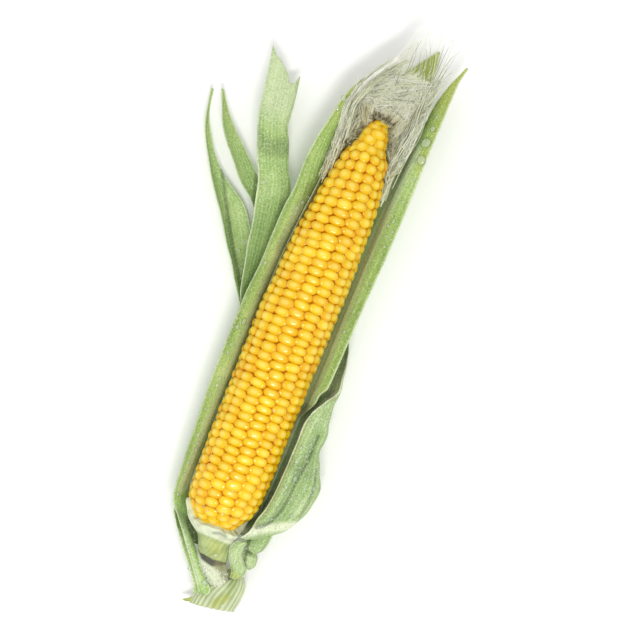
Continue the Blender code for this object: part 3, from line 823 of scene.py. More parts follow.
@dataclass
class Ear:
    """The cob and its kernels, in rows that run along it."""

    body: Table = (
        (-106.6, 0.6, 6.0), (-105.2, 0.5, 9.0), (-103, 0.2, 11.2), (-100, 0.0, 13.6), (-95, 0.2, 16.6),
        (-90, 0.4, 17.5),
        (-80, 0.6, 18.3), (-50, 0.3, 18.4), (-20, 0.1, 18.5), (0, 0.0, 18.7), (20, 0.7, 18.3), (40, 1.1, 17.4),
        (50, 1.6, 16.6), (60, 2.1, 15.6), (70, 2.2, 14.2), (80, 2.3, 12.2), (85, 2.4, 11.4), (89, 2.5, 9.0),
        (92, 2.6, 7.8), (96, 2.6, 7.0), (100, 2.7, 5.4), (103, 2.6, 3.4), (105, 2.5, 1.2),
    )
    twist: Table = ((-105, 8.0), (-30, 7.2), (-20, 0.6), (0, 0.0), (38, 0.0), (48, -3.0), (110, -3.0))
    pitch: Table = ((-105, 4.9), (-86, 4.5), (-20, 4.35), (50, 4.5), (70, 4.9), (90, 5.2))
    front_spread: float = 0.09
    first_kernel: float = -96.2
    square_rows: int = 16
    square_end: float = 41.0
    round_rows: int = 14
    round_end: float = 88.6
    butt_rings: Table = ((-100.2, 13, 8, 5.4), (-103.4, 11, -10, 5.2), (-105.6, 8, 10, 5.2))
    tip_rings: Table = (
        (89.9, 10, 10, 5.6), (93.8, 8, -12, 5.2), (97.6, 6, 14, 5.0), (101.0, 5, -20, 4.8), (103.6, 3, 20, 4.0),
    )
    seed: int = 7

    def kernel(self, name: str, squareness: float, material: bpy.types.Material) -> bpy.types.Object:
        """One kernel, a unit wide and long, with its crown at the origin.

        Args:
            name: The object's name.
            squareness: The exponent of its outline, 2 for round.
            material: Its material.

        Returns:
            The kernel, which the tree puts on each point.
        """
        sides = 12
        profile = (
            (-1.25, 0.6), (-0.85, 0.92), (-0.5, 1.0), (-0.34, 0.955), (-0.22, 0.84), (-0.11, 0.64), (-0.035, 0.37),
        )
        turn = (np.arange(sides) + 0.5) * 2 * math.pi / sides
        size = (np.abs(np.cos(turn)) ** squareness + np.abs(np.sin(turn)) ** squareness) ** (-1 / squareness)
        rings = [
            np.stack([np.cos(turn) * size * s / 2, np.sin(turn) * size * s / 2, np.full(sides, h)], axis=1)
            for h, s in profile
        ]
        points, faces = domed(rings, (0, 0, 0.0))
        crown = np.repeat([0.0, 0.1, 0.3, 0.48, 0.68, 0.86, 0.97], sides)
        return Patch(points / MM, faces, {"crown": np.append(crown, 1.0)}).object(name, [material])

    def ring(self, y: float, count: int, start: float, length: float, draw: random.Random) -> list[tuple]:
        """Places for the kernels of one ring.

        Args:
            y: The ring's position.
            count: How many kernels stand round it.
            start: The first one's angle in degrees from the front.
            length: Their length along the ear.
            draw: The source of small differences.

        Returns:
            A point, turn, size and tint for each.
        """
        found = []
        for i in range(count):
            round_angle = math.radians(start) + 2 * math.pi * i / count
            here = y + draw.uniform(-0.35, 0.35)
            found.append(self.seat(here, round_angle, 2 * math.pi / count, length, draw))
        return found

    def seat(self, y: float, angle: float, share: float, length: float, draw: random.Random) -> tuple:
        """Where and how one kernel stands.

        Args:
            y: Its position along the ear.
            angle: Its angle from the front, before the rows spread there.
            share: The angle between rows.
            length: Its length along the ear.
            draw: The source of small differences.

        Returns:
            Its point, turn as an Euler angle, size, and tint.
        """
        drift, radius = along(self.body, y)
        ahead = along(self.body, y + 0.8)[1]
        behind = along(self.body, y - 0.8)[1]
        lean = math.atan2(behind - ahead, 1.6)
        spread = angle + self.front_spread * math.sin(angle)
        turn = math.radians(along(self.twist, y)[0]) + spread
        width = radius * share * (1 + self.front_spread * math.cos(angle)) * 1.14
        high = 3.8 * draw.uniform(0.94, 1.06) * min(1.0, 0.55 + radius / 30)
        out = radius + draw.uniform(-0.25, 0.25)
        place_at = (drift + out * math.sin(turn), y, AXIS_HEIGHT + out * math.cos(turn))
        spin = Matrix.Rotation(math.radians(draw.uniform(-5, 5)), 3, "Z")
        tilt = Matrix.Rotation(math.radians(draw.uniform(-4, 4)), 3, "Y")
        way = Matrix.Rotation(turn, 3, "Y") @ Matrix.Rotation(-lean, 3, "X") @ tilt @ spin
        size = (width * draw.uniform(0.94, 1.06), length * draw.uniform(1.12, 1.30), high)
        return place_at, tuple(way.to_euler()), size, draw.random()

    def rows(self, starts: Sequence[float], last: float, draw: random.Random) -> tuple[list[tuple], list[float]]:
        """Places for rows of kernels.

        Args:
            starts: Where each row starts.
            last: Where all of them end.
            draw: The source of small differences.

        Returns:
            A point, turn, size and tint for each kernel, and where the next kernel of each row would stand.
        """
        found, ends, count = [], [], len(starts)
        for row, y in enumerate(starts):
            while y < last:
                step = float(along(self.pitch, y)[0]) * draw.uniform(0.93, 1.07)
                reach = max(0.25, 1 - abs(float(along(self.body, y + 1)[1] - along(self.body, y - 1)[1])) / 4)
                angle = 2 * math.pi * row / count + math.radians(draw.uniform(-0.9, 0.9))
                found.append(self.seat(y, angle, 2 * math.pi / count, step, draw))
                y += step * (0.82 + 0.18 * reach)
            ends.append(y)
        return found, ends

    def tree(self) -> Growth:
        """Stands a kernel on each point, turned and sized as the point says."""
        growth = Growth("kernel_rows")
        kernel = growth.ask("Kernel", "Object")
        plump = growth.ask("Plumpness", "Float", 1.0)
        uneven = growth.ask("Unevenness", "Float", 0.03)
        seed = growth.ask("Seed", "Int", 1)
        material = growth.ask("Material", "Material")
        shape = growth.node("GeometryNodeObjectInfo", None, {"Object": kernel}, "Geometry")
        turn = growth.node("FunctionNodeEulerToRotation", None, {0: growth.carried("turn", "FLOAT_VECTOR")})
        low = growth.node("ShaderNodeMath", {"operation": "SUBTRACT"}, {0: 1.0, 1: uneven})
        high = growth.node("ShaderNodeMath", {"operation": "ADD"}, {0: 1.0, 1: uneven})
        chance = growth.node("FunctionNodeRandomValue", {"data_type": "FLOAT"}, {2: low, 3: high, "Seed": seed}, 1)
        factor = growth.node("ShaderNodeMath", {"operation": "MULTIPLY"}, {0: chance, 1: plump})
        size = growth.node(
            "ShaderNodeVectorMath", {"operation": "SCALE"}, {0: growth.carried("size", "FLOAT_VECTOR"), "Scale": factor}
        )
        stood = growth.node(
            "GeometryNodeInstanceOnPoints", None,
            {"Points": growth.source, "Instance": shape, "Rotation": turn, "Scale": size}
        )
        growth.end(stood, material)
        return growth

    def build(self) -> bpy.types.Object:
        """Builds the ear and hands it over."""
        skin = KernelFinish().material()
        draw = random.Random(self.seed)
        growth = self.tree()
        grown = []
        rows = self.square_rows
        first = [self.first_kernel + 1.6 * (row % 2) + draw.uniform(-0.4, 0.4) for row in range(rows)]
        square, ends = self.rows(first, self.square_end, draw)
        for y, count, start, length in self.butt_rings:
            square += self.ring(y, count, start, length, draw)
        resumed = [ends[round(row * rows / self.round_rows) % rows] - 0.7 for row in range(self.round_rows)]
        round_ones, _ = self.rows(resumed, self.round_end, draw)
        for y, count, start, length in self.tip_rings:
            round_ones += self.ring(y, count, start, length, draw)
        for label, places, squareness, seed in (("body", square, 2.6, 3), ("end", round_ones, 2.1, 5)):
            points, turns, sizes, tints = zip(*places)
            carried = {
                "turn": np.array(turns), "size": np.array(sizes) * MM, "tint": np.array(tints),
            }
            source = Patch(np.array(points), [], carried).object("places_" + label)
            shape = self.kernel("kernel_" + label, squareness, skin)
            made = growth.grow(
                "kernels_" + label, source, Kernel=shape, Plumpness=1.0, Unevenness=0.03, Seed=seed, Material=skin
            )
            bpy.data.objects.remove(shape)
            grown.append(made)
        grown.append(self.core())
        return place(joined("ear_kernels", grown), ["ear"], "kernel")

    def core(self) -> bpy.types.Object:
        """The cob that the kernels' roots sink into."""
        sides = 40
        turn = np.arange(sides) * 2 * math.pi / sides
        rings = []
        for y in np.linspace(-105.6, 103.0, 90):
            drift, radius = along(self.body, y)
            reach = max(radius - 1.9 * min(1, radius / 8), 0.6)
            rings.append(
                np.stack([drift + reach * np.cos(turn), np.full(sides, y), AXIS_HEIGHT + reach * np.sin(turn)], axis=1)
            )
        return tube(np.array(rings), {}).object("cob", [CobFinish().material()])


# Leaves


@dataclass
class Leaf:
    """A leaf blade: rows of points along it become a closed blade with veins."""

    name: str
    node: str
    first: float
    last: float
    finish: LeafFinish
    slot: str = "husk_green"
    rows: int = 190
    columns: int = 55
    thickness: float = 0.7
    veins: int = 9
    relief: float = 0.035
    marks: tuple[Mark, ...] = ()
    tip_yellow: float = 0.0
    margin: float = 0.6
    seed: int = 1

    def row(self, y: float) -> np.ndarray:
        """Points across the leaf at a position."""
        raise NotImplementedError

    def stations(self) -> np.ndarray:
        """Positions of the rows, a little closer together at both ends."""
        t = np.linspace(0, 1, self.rows)
        return self.first + (self.last - self.first) * (0.7 * t + 0.3 * (0.5 - 0.5 * np.cos(math.pi * t)))

    def shape(self, grid: np.ndarray, share: np.ndarray) -> np.ndarray:
        """What a kind of leaf does to its points at the end."""
        return grid

    def build(self) -> bpy.types.Object:
        """Builds the leaf and hands it over."""
        positions = self.stations()
        grid = np.array([self.row(float(y)) for y in positions])
        share = np.linspace(0, 1, self.columns)[None, :] * np.ones((self.rows, 1))
        grid = self.shape(grid, share)
        run = np.concatenate(
            [np.zeros((self.rows, 1)), np.cumsum(np.linalg.norm(np.diff(grid, axis=1), axis=2), axis=1)], axis=1
        )
        width = run[:, -1:]
        phase = share * self.veins * 2 * math.pi
        vein = (0.5 + 0.5 * np.cos(phase)) ** 3 * blend(0.5, 4.0, width)
        rib = vein + 0.35 * (0.5 + 0.5 * np.cos(3 * phase))
        to_edge = np.minimum(run, width - run)
        to_end = np.minimum(positions - positions[0], positions[-1] - positions)[:, None]
        inside = blend(0, 1.6, np.minimum(to_edge, to_end + 0.2))
        normal = normals_of(grid)
        grid = grid + normal * (self.relief * (rib - 0.4) * inside + 0.10 * waves(grid, 17, self.seed))[..., None]
        carried = {"vein": vein * inside}
        for tone in Tone:
            carried[tone.value] = np.zeros_like(share)
        along_leaf = (positions - positions[0]) / (positions[-1] - positions[0])
        carried["yellow"] = self.tip_yellow * blend(0.80, 1.0, along_leaf)[:, None] * np.ones_like(share)
        carried["pale"] = self.margin * (1 - blend(0.2, 0.9, to_edge)) * blend(0, 4, width)
        carried["dark"] = 0.35 * self.margin * (1 - blend(0, 0.8, np.abs(to_edge - 1.4)))
        # Marks add painted shade, painted light on shaded walls, and the leaf's own pale and yellow tones.
        for mark in self.marks:
            spot = 1 - blend(0.25 * mark.width, mark.width, line_distance(grid, mark.line))
            carried[mark.tone.value] = np.maximum(carried[mark.tone.value], mark.strength * spot)
        thickness = self.thickness * (0.45 + 0.55 * inside)
        flat = np.stack(
            [(share - 0.5) * np.median(width) / 1000, positions[:, None] * np.ones_like(share) / 1000], axis=-1
        )
        made = shell(grid, thickness, carried, flat).object(self.name, [self.finish.material()])
        return place(made, [self.node], self.slot)


@dataclass
class TroughLeaf(Leaf):
    """A husk leaf that lies round the ear."""

    table: Table = ()
    offset: float = 0.0

    def row(self, y: float) -> np.ndarray:
        """Points across the leaf at a position."""
        left, right = along(self.table, y)
        return trough_row(y, left, right, self.offset, self.columns)


@dataclass
class StrapLeaf(TroughLeaf):
    """The left husk, which narrows to a strap down to the shank's end."""

    strap: Table = ()

    def row(self, y: float) -> np.ndarray:
        """Points across the leaf at a position."""
        inner = super().row(y)
        return inner + (free_row(self.strap, y, self.columns) - inner) * (1 - blend(*STRAP_END, y))


@dataclass
class FlankLeaf(TroughLeaf):
    """A leaf whose base lies against the ear's left flank and whose end stands free."""

    free: Table = ()

    def row(self, y: float) -> np.ndarray:
        """Points across the leaf at a position."""
        share = blend(*LEAVING, y)
        under = super().row(y) if share < 1 else 0
        return under * (1 - share) + free_row(self.free, y, self.columns) * share


@dataclass
class TornLeaf(FlankLeaf):
    """The wide leaf, whose end is torn across and whose base is a strap beside the left husk's."""

    torn: Table = ()
    torn_from: float = 86

    def row(self, y: float) -> np.ndarray:
        """Points across the leaf at a position."""
        on_flank = blend(*FLANK_START, y) * (1 - blend(*LEAVING, y))
        free = free_row(self.free, y, self.columns)
        if on_flank <= 0:
            return free
        left, right = along(self.table, y)
        return free * (1 - on_flank) + trough_row(y, left, right, self.offset, self.columns) * on_flank

    def shape(self, grid: np.ndarray, share: np.ndarray) -> np.ndarray:
        """Draws the end out into the tear's teeth."""
        draw = random.Random(self.seed)
        teeth = [draw.uniform(-0.5, 0.5) for _ in range(grid.shape[1])]
        reach = blend(self.torn_from, self.last, grid[:, :1, 1])[..., None]
        tear = np.array([along(self.torn, t)[0] + tooth for t, tooth in zip(share[0], teeth)])
        lean = -0.18 * tear * (1 - share[0])
        return grid + np.stack([lean, tear, -0.3 * tear], axis=-1)[None] * reach


@dataclass
class FreeLeaf(Leaf):
    """A small leaf whose edges are both in its table."""

    table: Table = ()

    def row(self, y: float) -> np.ndarray:
        """Points across the leaf at a position."""
        return free_row(self.table, y, self.columns)


@dataclass
class CrumpledLeaf(Leaf):
    """The right husk's torn base, folded over on itself."""

    sections: tuple = ()

    def row(self, y: float) -> np.ndarray:
        """Points across the leaf at a position."""
        points = along([(s[0], *sum(s[1:], ())) for s in self.sections], y).reshape(-1, 2)
        through = [(a, *p) for a, p in zip(np.linspace(0, 1, len(points)), points)]
        found = np.array([along(through, a) for a in np.linspace(0, 1, self.columns)])
        return np.stack([found[:, 0], np.full(self.columns, y), found[:, 1]], axis=1)

    def shape(self, grid: np.ndarray, share: np.ndarray) -> np.ndarray:
        """Adds the crinkles of a leaf that has been bent back."""
        dents = 0.3 * waves(grid * np.array([1, 0.45, 1]), 7, 4) * blend(0.2, 0.5, share)
        return grid + normals_of(grid) * dents[..., None]


@dataclass
class Husk:
    """All the leaves round the ear."""

    inner: Table = (
        (-109, -5.0, 6.0), (-104, -10.0, 10.0), (-98, -15.4, 15.4), (-90, -17.4, 17.2), (-50, -18.0, 17.6),
        (20, -18.0, 17.6), (50, -16.2, 17.0), (66, -14.6, 16.4), (80, -13.8, 16.0), (88, -10.0, 12.0), (94, -3.0, 6.0),
    )
    left: Table = (
        (-104, -20.4, -13.5), (-100, -22.5, -12.0), (-95, -23.5, -12.0), (-90, -24.0, -11.0), (-78, -24.8, -6.0),
        (-60, -25.8, -1.0), (-40, -26.8, 2.0), (0, -27.0, 4.0), (20, -25.8, 4.0), (40, -25.6, 1.0), (50, -25.2, -3.0),
        (60, -24.2, -9.0), (68, -24.3, -12.4), (75, -24.3, -14.0), (85, -23.3, -14.8), (95, -21.3, -15.2),
        (105, -19.7, -15.6), (113, -17.2, -14.2), (118, -14.5, -12.6), (121, -12.9, -11.9),
    )
    right: Table = (
        (-111, -1.0, 7.0), (-104, -4.0, 11.5), (-98, -6.0, 15.6), (-92, -6.0, 17.6), (-60, -6.0, 18.8),
        (-46, -6.0, 19.2), (-41, -6.0, 20.2), (-37.5, -6.0, 22.0), (-33, -6.0, 24.2), (-29, -6.0, 24.6),
        (-24, -6.0, 27.0), (-15, -6.0, 27.5), (10, -6.0, 28.0), (30, -6.0, 28.8), (50, -5.0, 29.5), (65, -1.0, 29.8),
        (80, 8.0, 29.8), (92, 15.6, 29.8), (105, 21.5, 29.8), (115, 22.9, 30.0), (123, 24.0, 30.0), (129, 25.5, 30.2),
        (134, 27.0, 30.3), (138, 28.8, 30.8), (143.3, 30.9, 31.9),
    )
    back: Table = (
        (-115, -4.0, 8.6), (-106, -7.0, 9.0), (-100, -11.0, 14.0), (-92, -18.6, 18.5), (-80, -20.6, 19.6),
        (60, -20.2, 20.2), (90, -18.0, 21.0), (105, -13.0, 21.6), (113, -8.0, 21.0), (118, -4.0, 20.2),
        (123, -1.0, 19.5), (127, 1.0, 18.9), (132, 4.0, 18.5), (136, 7.0, 18.4), (141, 10.8, 17.6), (147, 15.3, 16.4),
    )
    strap: Table = (
        (-138, 6.5, 20.6, 10.0, 21.4, 0.3), (-136, 4.6, 20.6, 11.0, 21.8, 0.5), (-133, 2.6, 20.0, 9.2, 21.4, 0.8),
        (-130, 0.2, 19.4, 5.6, 20.6, 0.8), (-126, -2.8, 18.8, 2.0, 19.4, 0.8), (-121, -6.8, 18.4, -1.8, 17.2, 0.9),
        (-116, -10.8, 18.6, -6.2, 15.2, 1.0), (-111, -14.8, 19.6, -11.0, 12.0, 0.6),
        (-106, -18.4, 20.6, -13.4, 9.2, -0.6), (-100, -22.5, 23.4, -10.0, 6.6, -3.4),
    )
    wide: Table = (
        (-139.5, 3.6, 18.2, 6.4, 18.6, 0.2), (-135, 2.0, 17.8, 5.6, 18.0, 0.4), (-130, -2.0, 17.2, 2.6, 17.4, 0.5),
        (-125, -6.0, 16.8, -1.6, 16.0, 0.5), (-121, -9.4, 16.8, -5.0, 14.6, 0.5), (-116, -13.2, 16.6, -8.6, 11.8, 0.3),
        (-111, -17.0, 17.4, -13.6, 9.4, -0.3), (-105, -20.4, 17.0, -12.8, 7.0, -0.4),
        (-12, -26.0, 16.4, -16.6, 2.8, -1.0),
        (0, -28.5, 18.2, -17.4, 3.4, -0.8), (15, -32.5, 19.6, -18.6, 4.8, -0.8), (35, -36.5, 20.4, -21.0, 8.4, -0.2),
        (50, -40.0, 20.6, -23.6, 11.6, 0.6), (58, -42.5, 20.6, -25.6, 13.2, 1.0), (68, -47.0, 20.4, -31.0, 15.0, 1.4),
        (78, -51.0, 20.0, -34.6, 15.6, 1.6), (86, -53.5, 19.2, -38.2, 15.2, 1.6), (95, -55.0, 17.8, -39.6, 14.0, 1.4),
        (105, -57.2, 15.8, -42.0, 12.2, 1.0),
    )
    wide_flank: Table = ((-110, -17.0, -13.0), (-96, -21.4, -15.4), (-80, -22.6, -16.0), (-8, -24.0, -16.4))
    wide_torn: Table = ((0.0, 14.5), (0.16, 11.0), (0.42, 7.5), (0.66, 3.5), (0.78, 0.0), (0.9, 1.0), (1.0, 5.0))
    narrow: Table = (
        (-10, -24.6, 10.0, -19.0, 2.6, -0.6), (0, -25.6, 10.6, -19.6, 2.8, -0.7), (20, -29.2, 11.4, -22.0, 3.8, -0.6),
        (35, -34.0, 13.0, -27.0, 6.0, -0.6), (45, -40.0, 14.2, -33.0, 8.2, -0.8), (53, -50.2, 14.6, -38.6, 9.0, -1.0),
        (61, -57.0, 14.0, -46.0, 8.6, -1.4), (68, -63.0, 13.0, -53.6, 8.0, -1.4), (76, -68.6, 11.2, -62.0, 7.4, -1.2),
        (84, -72.0, 9.0, -69.0, 6.6, -0.6), (91, -75.0, 6.2, -74.0, 5.6, 0.0),
    )
    narrow_flank: Table = (
        (-117, -8.0, -2.0), (-106, -14.6, -7.0), (-100, -16.0, -12.0), (-94, -19.4, -15.2), (-8, -23.6, -18.4)
    )
    folded: Table = (
        (-12, -26.4, 8.2, -21.2, 2.0, -0.5), (0, -29.8, 9.0, -22.4, 1.8, -1.2), (10, -36.0, 10.6, -24.8, 2.2, -2.2),
        (20, -43.0, 11.4, -29.6, 2.8, -3.0), (32, -51.0, 11.6, -35.8, 4.2, -3.6), (42, -58.2, 11.4, -43.0, 5.2, -3.6),
        (52, -65.0, 10.8, -57.4, 6.2, -2.6), (62, -71.0, 9.8, -67.0, 6.2, -1.6), (74, -76.5, 7.8, -74.4, 5.8, -0.8),
        (82, -78.4, 6.0, -77.2, 5.0, -0.3), (89.5, -79.8, 4.2, -78.8, 3.8, 0.0),
    )
    folded_flank: Table = (
        (-118, -5.0, -1.0), (-106, -13.4, -9.4), (-100, -17.6, -14.0), (-94, -20.2, -16.4), (-8, -24.4, -19.6)
    )
    crumpled: tuple = (
        (-105.6, (11.4, 6.0), (15.0, 9.4), (17.2, 13.2), (18.6, 17.0), (18.4, 21), (17.4, 24), (16.0, 26.2),
         (14.6, 27)),
        (-101, (14.6, 5.4), (20, 10.6), (23.6, 14.4), (25.8, 18.6), (25.0, 23), (22.8, 24.4), (20.2, 27.4),
         (17.6, 27.8)),
        (-95, (16.2, 3.4), (22, 9.4), (29, 14.2), (33, 20.0), (30, 25.4), (25.6, 24.0), (22, 27.0), (18.8, 26.0)),
        (-88, (15.8, 3.6), (24, 10.4), (32.6, 15.0), (37.4, 21.0), (34, 27.0), (27.8, 24.2), (24.4, 29.0),
         (20.8, 27.6)),
        (-80, (16.0, 3.6), (25, 11.0), (35, 15.6), (40.6, 21.4), (36, 27.6), (29.2, 24.4), (25.6, 30.0), (22.0, 28.0)),
        (-71, (16.0, 3.6), (25, 11.4), (35.6, 16.0), (41.4, 21.6), (37, 27.6), (29.8, 24.8), (26.2, 30.4),
         (22.3, 28.4)),
        (-62, (16.0, 3.6), (25, 11.6), (33, 16.4), (37.2, 21.8), (34.8, 27.0), (30.8, 25.2), (26.8, 30.6),
         (22.5, 28.6)),
        (-53, (16.0, 3.6), (24.6, 11.8), (31, 16.8), (34.2, 22.0), (33, 26.6), (31.0, 25.6), (27.0, 30.4),
         (22.7, 28.6)),
        (-45, (16.0, 3.6), (24.4, 12.0), (31, 17.0), (35.0, 22.4), (33.4, 26.8), (31.2, 25.8), (27.2, 30.0),
         (22.6, 28.4)),
        (-38, (16.0, 3.6), (24.2, 12.0), (30, 17.0), (33.2, 22.2), (32.2, 26.2), (30.8, 27.0), (28.0, 28.8),
         (24.0, 28.4)),
        (-31, (16.0, 3.6), (24.0, 12.0), (29.4, 17.0), (32.6, 21.8), (32.4, 25.4), (31.4, 26.8), (30.0, 27.6),
         (27.8, 27.8)),
        (-23, (16.4, 3.8), (23.8, 12.0), (28.8, 16.8), (31.6, 20.6), (32.5, 24.0), (32.5, 25.2), (32.3, 26.0),
         (31.8, 26.6)),
        (-12, (18.0, 4.6), (24.0, 12.0), (27.6, 15.8), (29.8, 18.6), (30.8, 21.0), (31.0, 22.0), (31.0, 23.0),
         (31.0, 23.8)),
        (0, (22.4, 9.0), (24.6, 12.4), (26.0, 14.2), (27.0, 15.8), (27.6, 17.2), (27.9, 18.2), (28.1, 19.0),
         (28.2, 19.8)),
        (6, (25.2, 13.4), (25.4, 13.8), (25.6, 14.2), (25.8, 14.6), (26.0, 15.0), (26.1, 15.4), (26.2, 15.8),
         (26.3, 16.2)),
    )
    curl: Table = (
        (-126, 17.2, 18.6, 19.6, 18.6, 0.6), (-123, 16.8, 19.6, 23.0, 18.2, 1.6), (-120, 14.6, 20.4, 23.4, 17.6, 2.2),
        (-117, 12.8, 21.0, 20.8, 17.6, 2.6), (-113, 11.4, 21.4, 18.4, 17.6, 2.8), (-110, 12.0, 22.4, 18.0, 17.8, 2.6),
        (-107.4, 14.4, 22.6, 18.6, 17.8, 2.0),
    )
    lobe: Table = (
        (-119.5, 22.4, 13.6, 24.8, 12.6, 0.4), (-116.5, 20.2, 14.6, 26.6, 11.2, 1.6),
        (-113.5, 18.8, 14.4, 26.4, 10.6, 2.0),
        (-111.4, 18.0, 12.6, 25.2, 9.6, 0.8), (-109, 17.6, 12.2, 27.0, 9.6, 2.0), (-104, 17.8, 8.6, 28.6, 9.6, 2.4),
        (-99, 20.6, 6.4, 29.2, 9.4, 1.6), (-95, 23.6, 6.4, 29.0, 9.0, 0.6),
    )

    def leaves(self) -> list[Leaf]:
        """Every leaf, from the innermost out."""
        green = LeafFinish("husk_skin")
        blue = LeafFinish("leaf_skin", linear(112, 148, 80), linear(158, 188, 112), linear(206, 222, 156))
        pale = LeafFinish("inner_skin", linear(170, 178, 116), linear(206, 212, 160), linear(232, 236, 200))
        grey = LeafFinish("crumpled_skin", linear(108, 136, 84), linear(158, 184, 120), linear(204, 220, 168))
        left_marks = (
            # Painted shade: the outer edge turns away from the light, the inner edge lies beside the kernels.
            Mark(Tone.DARK, 3.0, 0.35, ((-26.2, 34), (-26.8, 10), (-27, -20))),
            Mark(Tone.DARK, 3.5, 0.30, ((-17.5, 62), (-18.5, 45), (-20, 30))),
            # Painted light on the inner wall, which lies in shade.
            Mark(Tone.PALE, 3.4, 0.42, ((-20.2, -95), (-20.4, -60), (-20.0, -20), (-19.8, 20), (-18.6, 50))),
            # Painted shade along the rolled outer edge.
            Mark(Tone.DARK, 1.5, 0.22, ((-24.0, -100), (-26.4, -40), (-26.8, 0), (-25.4, 40), (-24.2, 75))),
            Mark(Tone.PALE, 3.2, 0.5, ((-20, -106), (-13, -113), (-5, -124), (3, -133))),
        )
        right_marks = (
            Mark(Tone.YELLOW, 4.0, 0.5, ((28, 90), (29, 120), (31, 143))),
            # Painted light on the inner wall, which lies in shade.
            Mark(Tone.PALE, 3.6, 0.5, ((20.4, -34), (21, 0), (21, 50), (22, 80), (23.5, 98))),
            # Painted shade and light: the deep gap beside the kernels is painted grey-brown, then lightened.
            Mark(Tone.BROWN, 2.6, 0.7, ((20.4, -36), (20.2, -60), (19.6, -95))),
            Mark(Tone.PALE, 2.6, 0.35, ((20.4, -36), (20.2, -60), (19.6, -95))),
        )
        crumpled_marks = (
            # Painted shade in the two folds of the bent-back leaf.
            Mark(
                Tone.DARK, 1.4, 0.7, ((31, -47), (31, -60), (29.5, -70), (29, -80), (27.5, -88), (25, -94), (20, -98.5))
            ),
            Mark(Tone.DARK, 1.0, 0.45, ((36, -62), (38, -70), (38.5, -78), (37, -86))),
            Mark(Tone.PALE, 3.2, 0.9, ((36, -91), (25, -97), (17, -102), (10, -107))),
            Mark(
                Tone.PALE, 0.9, 0.8,
                ((32.5, -23), (27, -32), (23, -40), (22.7, -55), (22.3, -75), (20.5, -90), (16, -101))
            ),
            # Painted shade: the fold's inner side, which lies in shade, in grey-brown.
            Mark(Tone.BROWN, 3.0, 0.6, ((30.5, -5), (29.5, -16), (29.5, -27))),
        )
        folded_marks = (
            # Painted shade in the crevice between the leaves' bases, the strap and the neck.
            Mark(Tone.DARK, 7, 0.9, ((-3, -119), (-10, -106), (-16, -100))),
            # Painted shade along the leaf's fold.
            Mark(
                Tone.DARK, 1.5, 0.65,
                ((-60, 54), (-57, 49), (-54, 43), (-50, 36), (-46.5, 30), (-43, 24), (-39, 18), (-35, 12), (-31, 5)),
            ),
        )
        return [
            TroughLeaf(
                "husk_lining", "husk_inner", -109, 94, pale, "husk_pale", 150, 60, table=self.inner, offset=0.0, seed=2
            ),
            StrapLeaf(
                "husk_left_blade", "husk_left", -138, 121, green, rows=230, columns=55, veins=8, marks=left_marks,
                tip_yellow=0.6,
                table=self.left, offset=LAYER, strap=self.strap, seed=3,
            ),
            TroughLeaf(
                "husk_right_blade", "husk_right", -111, 143.3, green, rows=220, columns=61, veins=10, marks=right_marks,
                tip_yellow=0.9, table=self.right, offset=2 * LAYER, seed=4,
            ),
            TroughLeaf(
                "husk_back_blade", "husk_back", -115, 147, green, rows=220, columns=71, veins=12, tip_yellow=0.8,
                table=self.back, offset=BACK_OFFSET, seed=5,
            ),
            CrumpledLeaf(
                "husk_crumpled_blade", "husk_crumpled", -105.6, 6, grey, rows=190, columns=97, veins=16, relief=0.04,
                marks=crumpled_marks, sections=self.crumpled, seed=6,
            ),
            TornLeaf(
                "wide_blade", "leaf_wide", -139.5, 105, blue, rows=230, columns=61, veins=9,
                marks=(
                    # Painted shade where the leaf twists.
                    Mark(Tone.DARK, 6.5, 0.42, ((-52, 76), (-44, 72), (-35, 76))),
                    Mark(Tone.PALE, 20, 0.45, ((-50, 112), (-47, 98))),
                    # Painted shade where the leaf runs under the left husk.
                    Mark(Tone.DARK, 6.0, 0.5, ((-24, 50), (-19, 20), (-17.5, -10))),
                ),
                table=self.wide_flank, offset=BACK_OFFSET + LAYER, free=self.wide, torn=self.wide_torn, seed=7,
            ),
            FlankLeaf(
                "narrow_blade", "leaf_narrow", -117, 91, blue, rows=200, columns=43, veins=6, tip_yellow=0.2,
                marks=(
                    # Painted shade where the neighbouring leaves' edges cross this one.
                    Mark(Tone.DARK, 1.8, 0.6, ((-44, 60), (-40, 45), (-33, 33))),
                    # Painted shade in the crevice by the neck.
                    Mark(Tone.DARK, 7, 0.9, ((-4, -118), (-10, -106), (-16, -100))),
                ),
                table=self.narrow_flank, offset=BACK_OFFSET + 2 * LAYER, free=self.narrow, seed=8,
            ),
            FlankLeaf(
                "folded_blade", "leaf_folded", -118, 89.5, blue, rows=200, columns=49, veins=7, tip_yellow=0.2,
                marks=folded_marks, table=self.folded_flank, offset=BACK_OFFSET + 3.3 * LAYER, free=self.folded, seed=9,
            ),
            FreeLeaf(
                "curled_strip", "base_curl", -126, -107.4, grey, rows=70, columns=37, veins=3, relief=0.04,
                table=self.curl,
                marks=(
                    Mark(Tone.YELLOW, 3.5, 0.6, ((17, -124), (20, -125))),
                    Mark(Tone.PALE, 1.2, 0.5, ((12.6, -109), (12.2, -113), (15, -119)))
                ),
                seed=10,
            ),
            FreeLeaf(
                "lobed_scrap", "base_lobe", -119.5, -95, grey, rows=80, columns=37, veins=4, relief=0.04,
                table=self.lobe,
                marks=(
                    # Painted shade: dark lines near the scrap's inner edge.
                    Mark(Tone.DARK, 1.4, 0.9, ((18.5, -110.5), (22, -112))),
                    Mark(Tone.DARK, 1.2, 0.7, ((19, -104), (19.6, -110), (21, -116))),
                ), seed=11,
            ),
        ]

    def build(self) -> list[bpy.types.Object]:
        """Builds every leaf."""
        return [leaf.build() for leaf in self.leaves()]


# The stalk


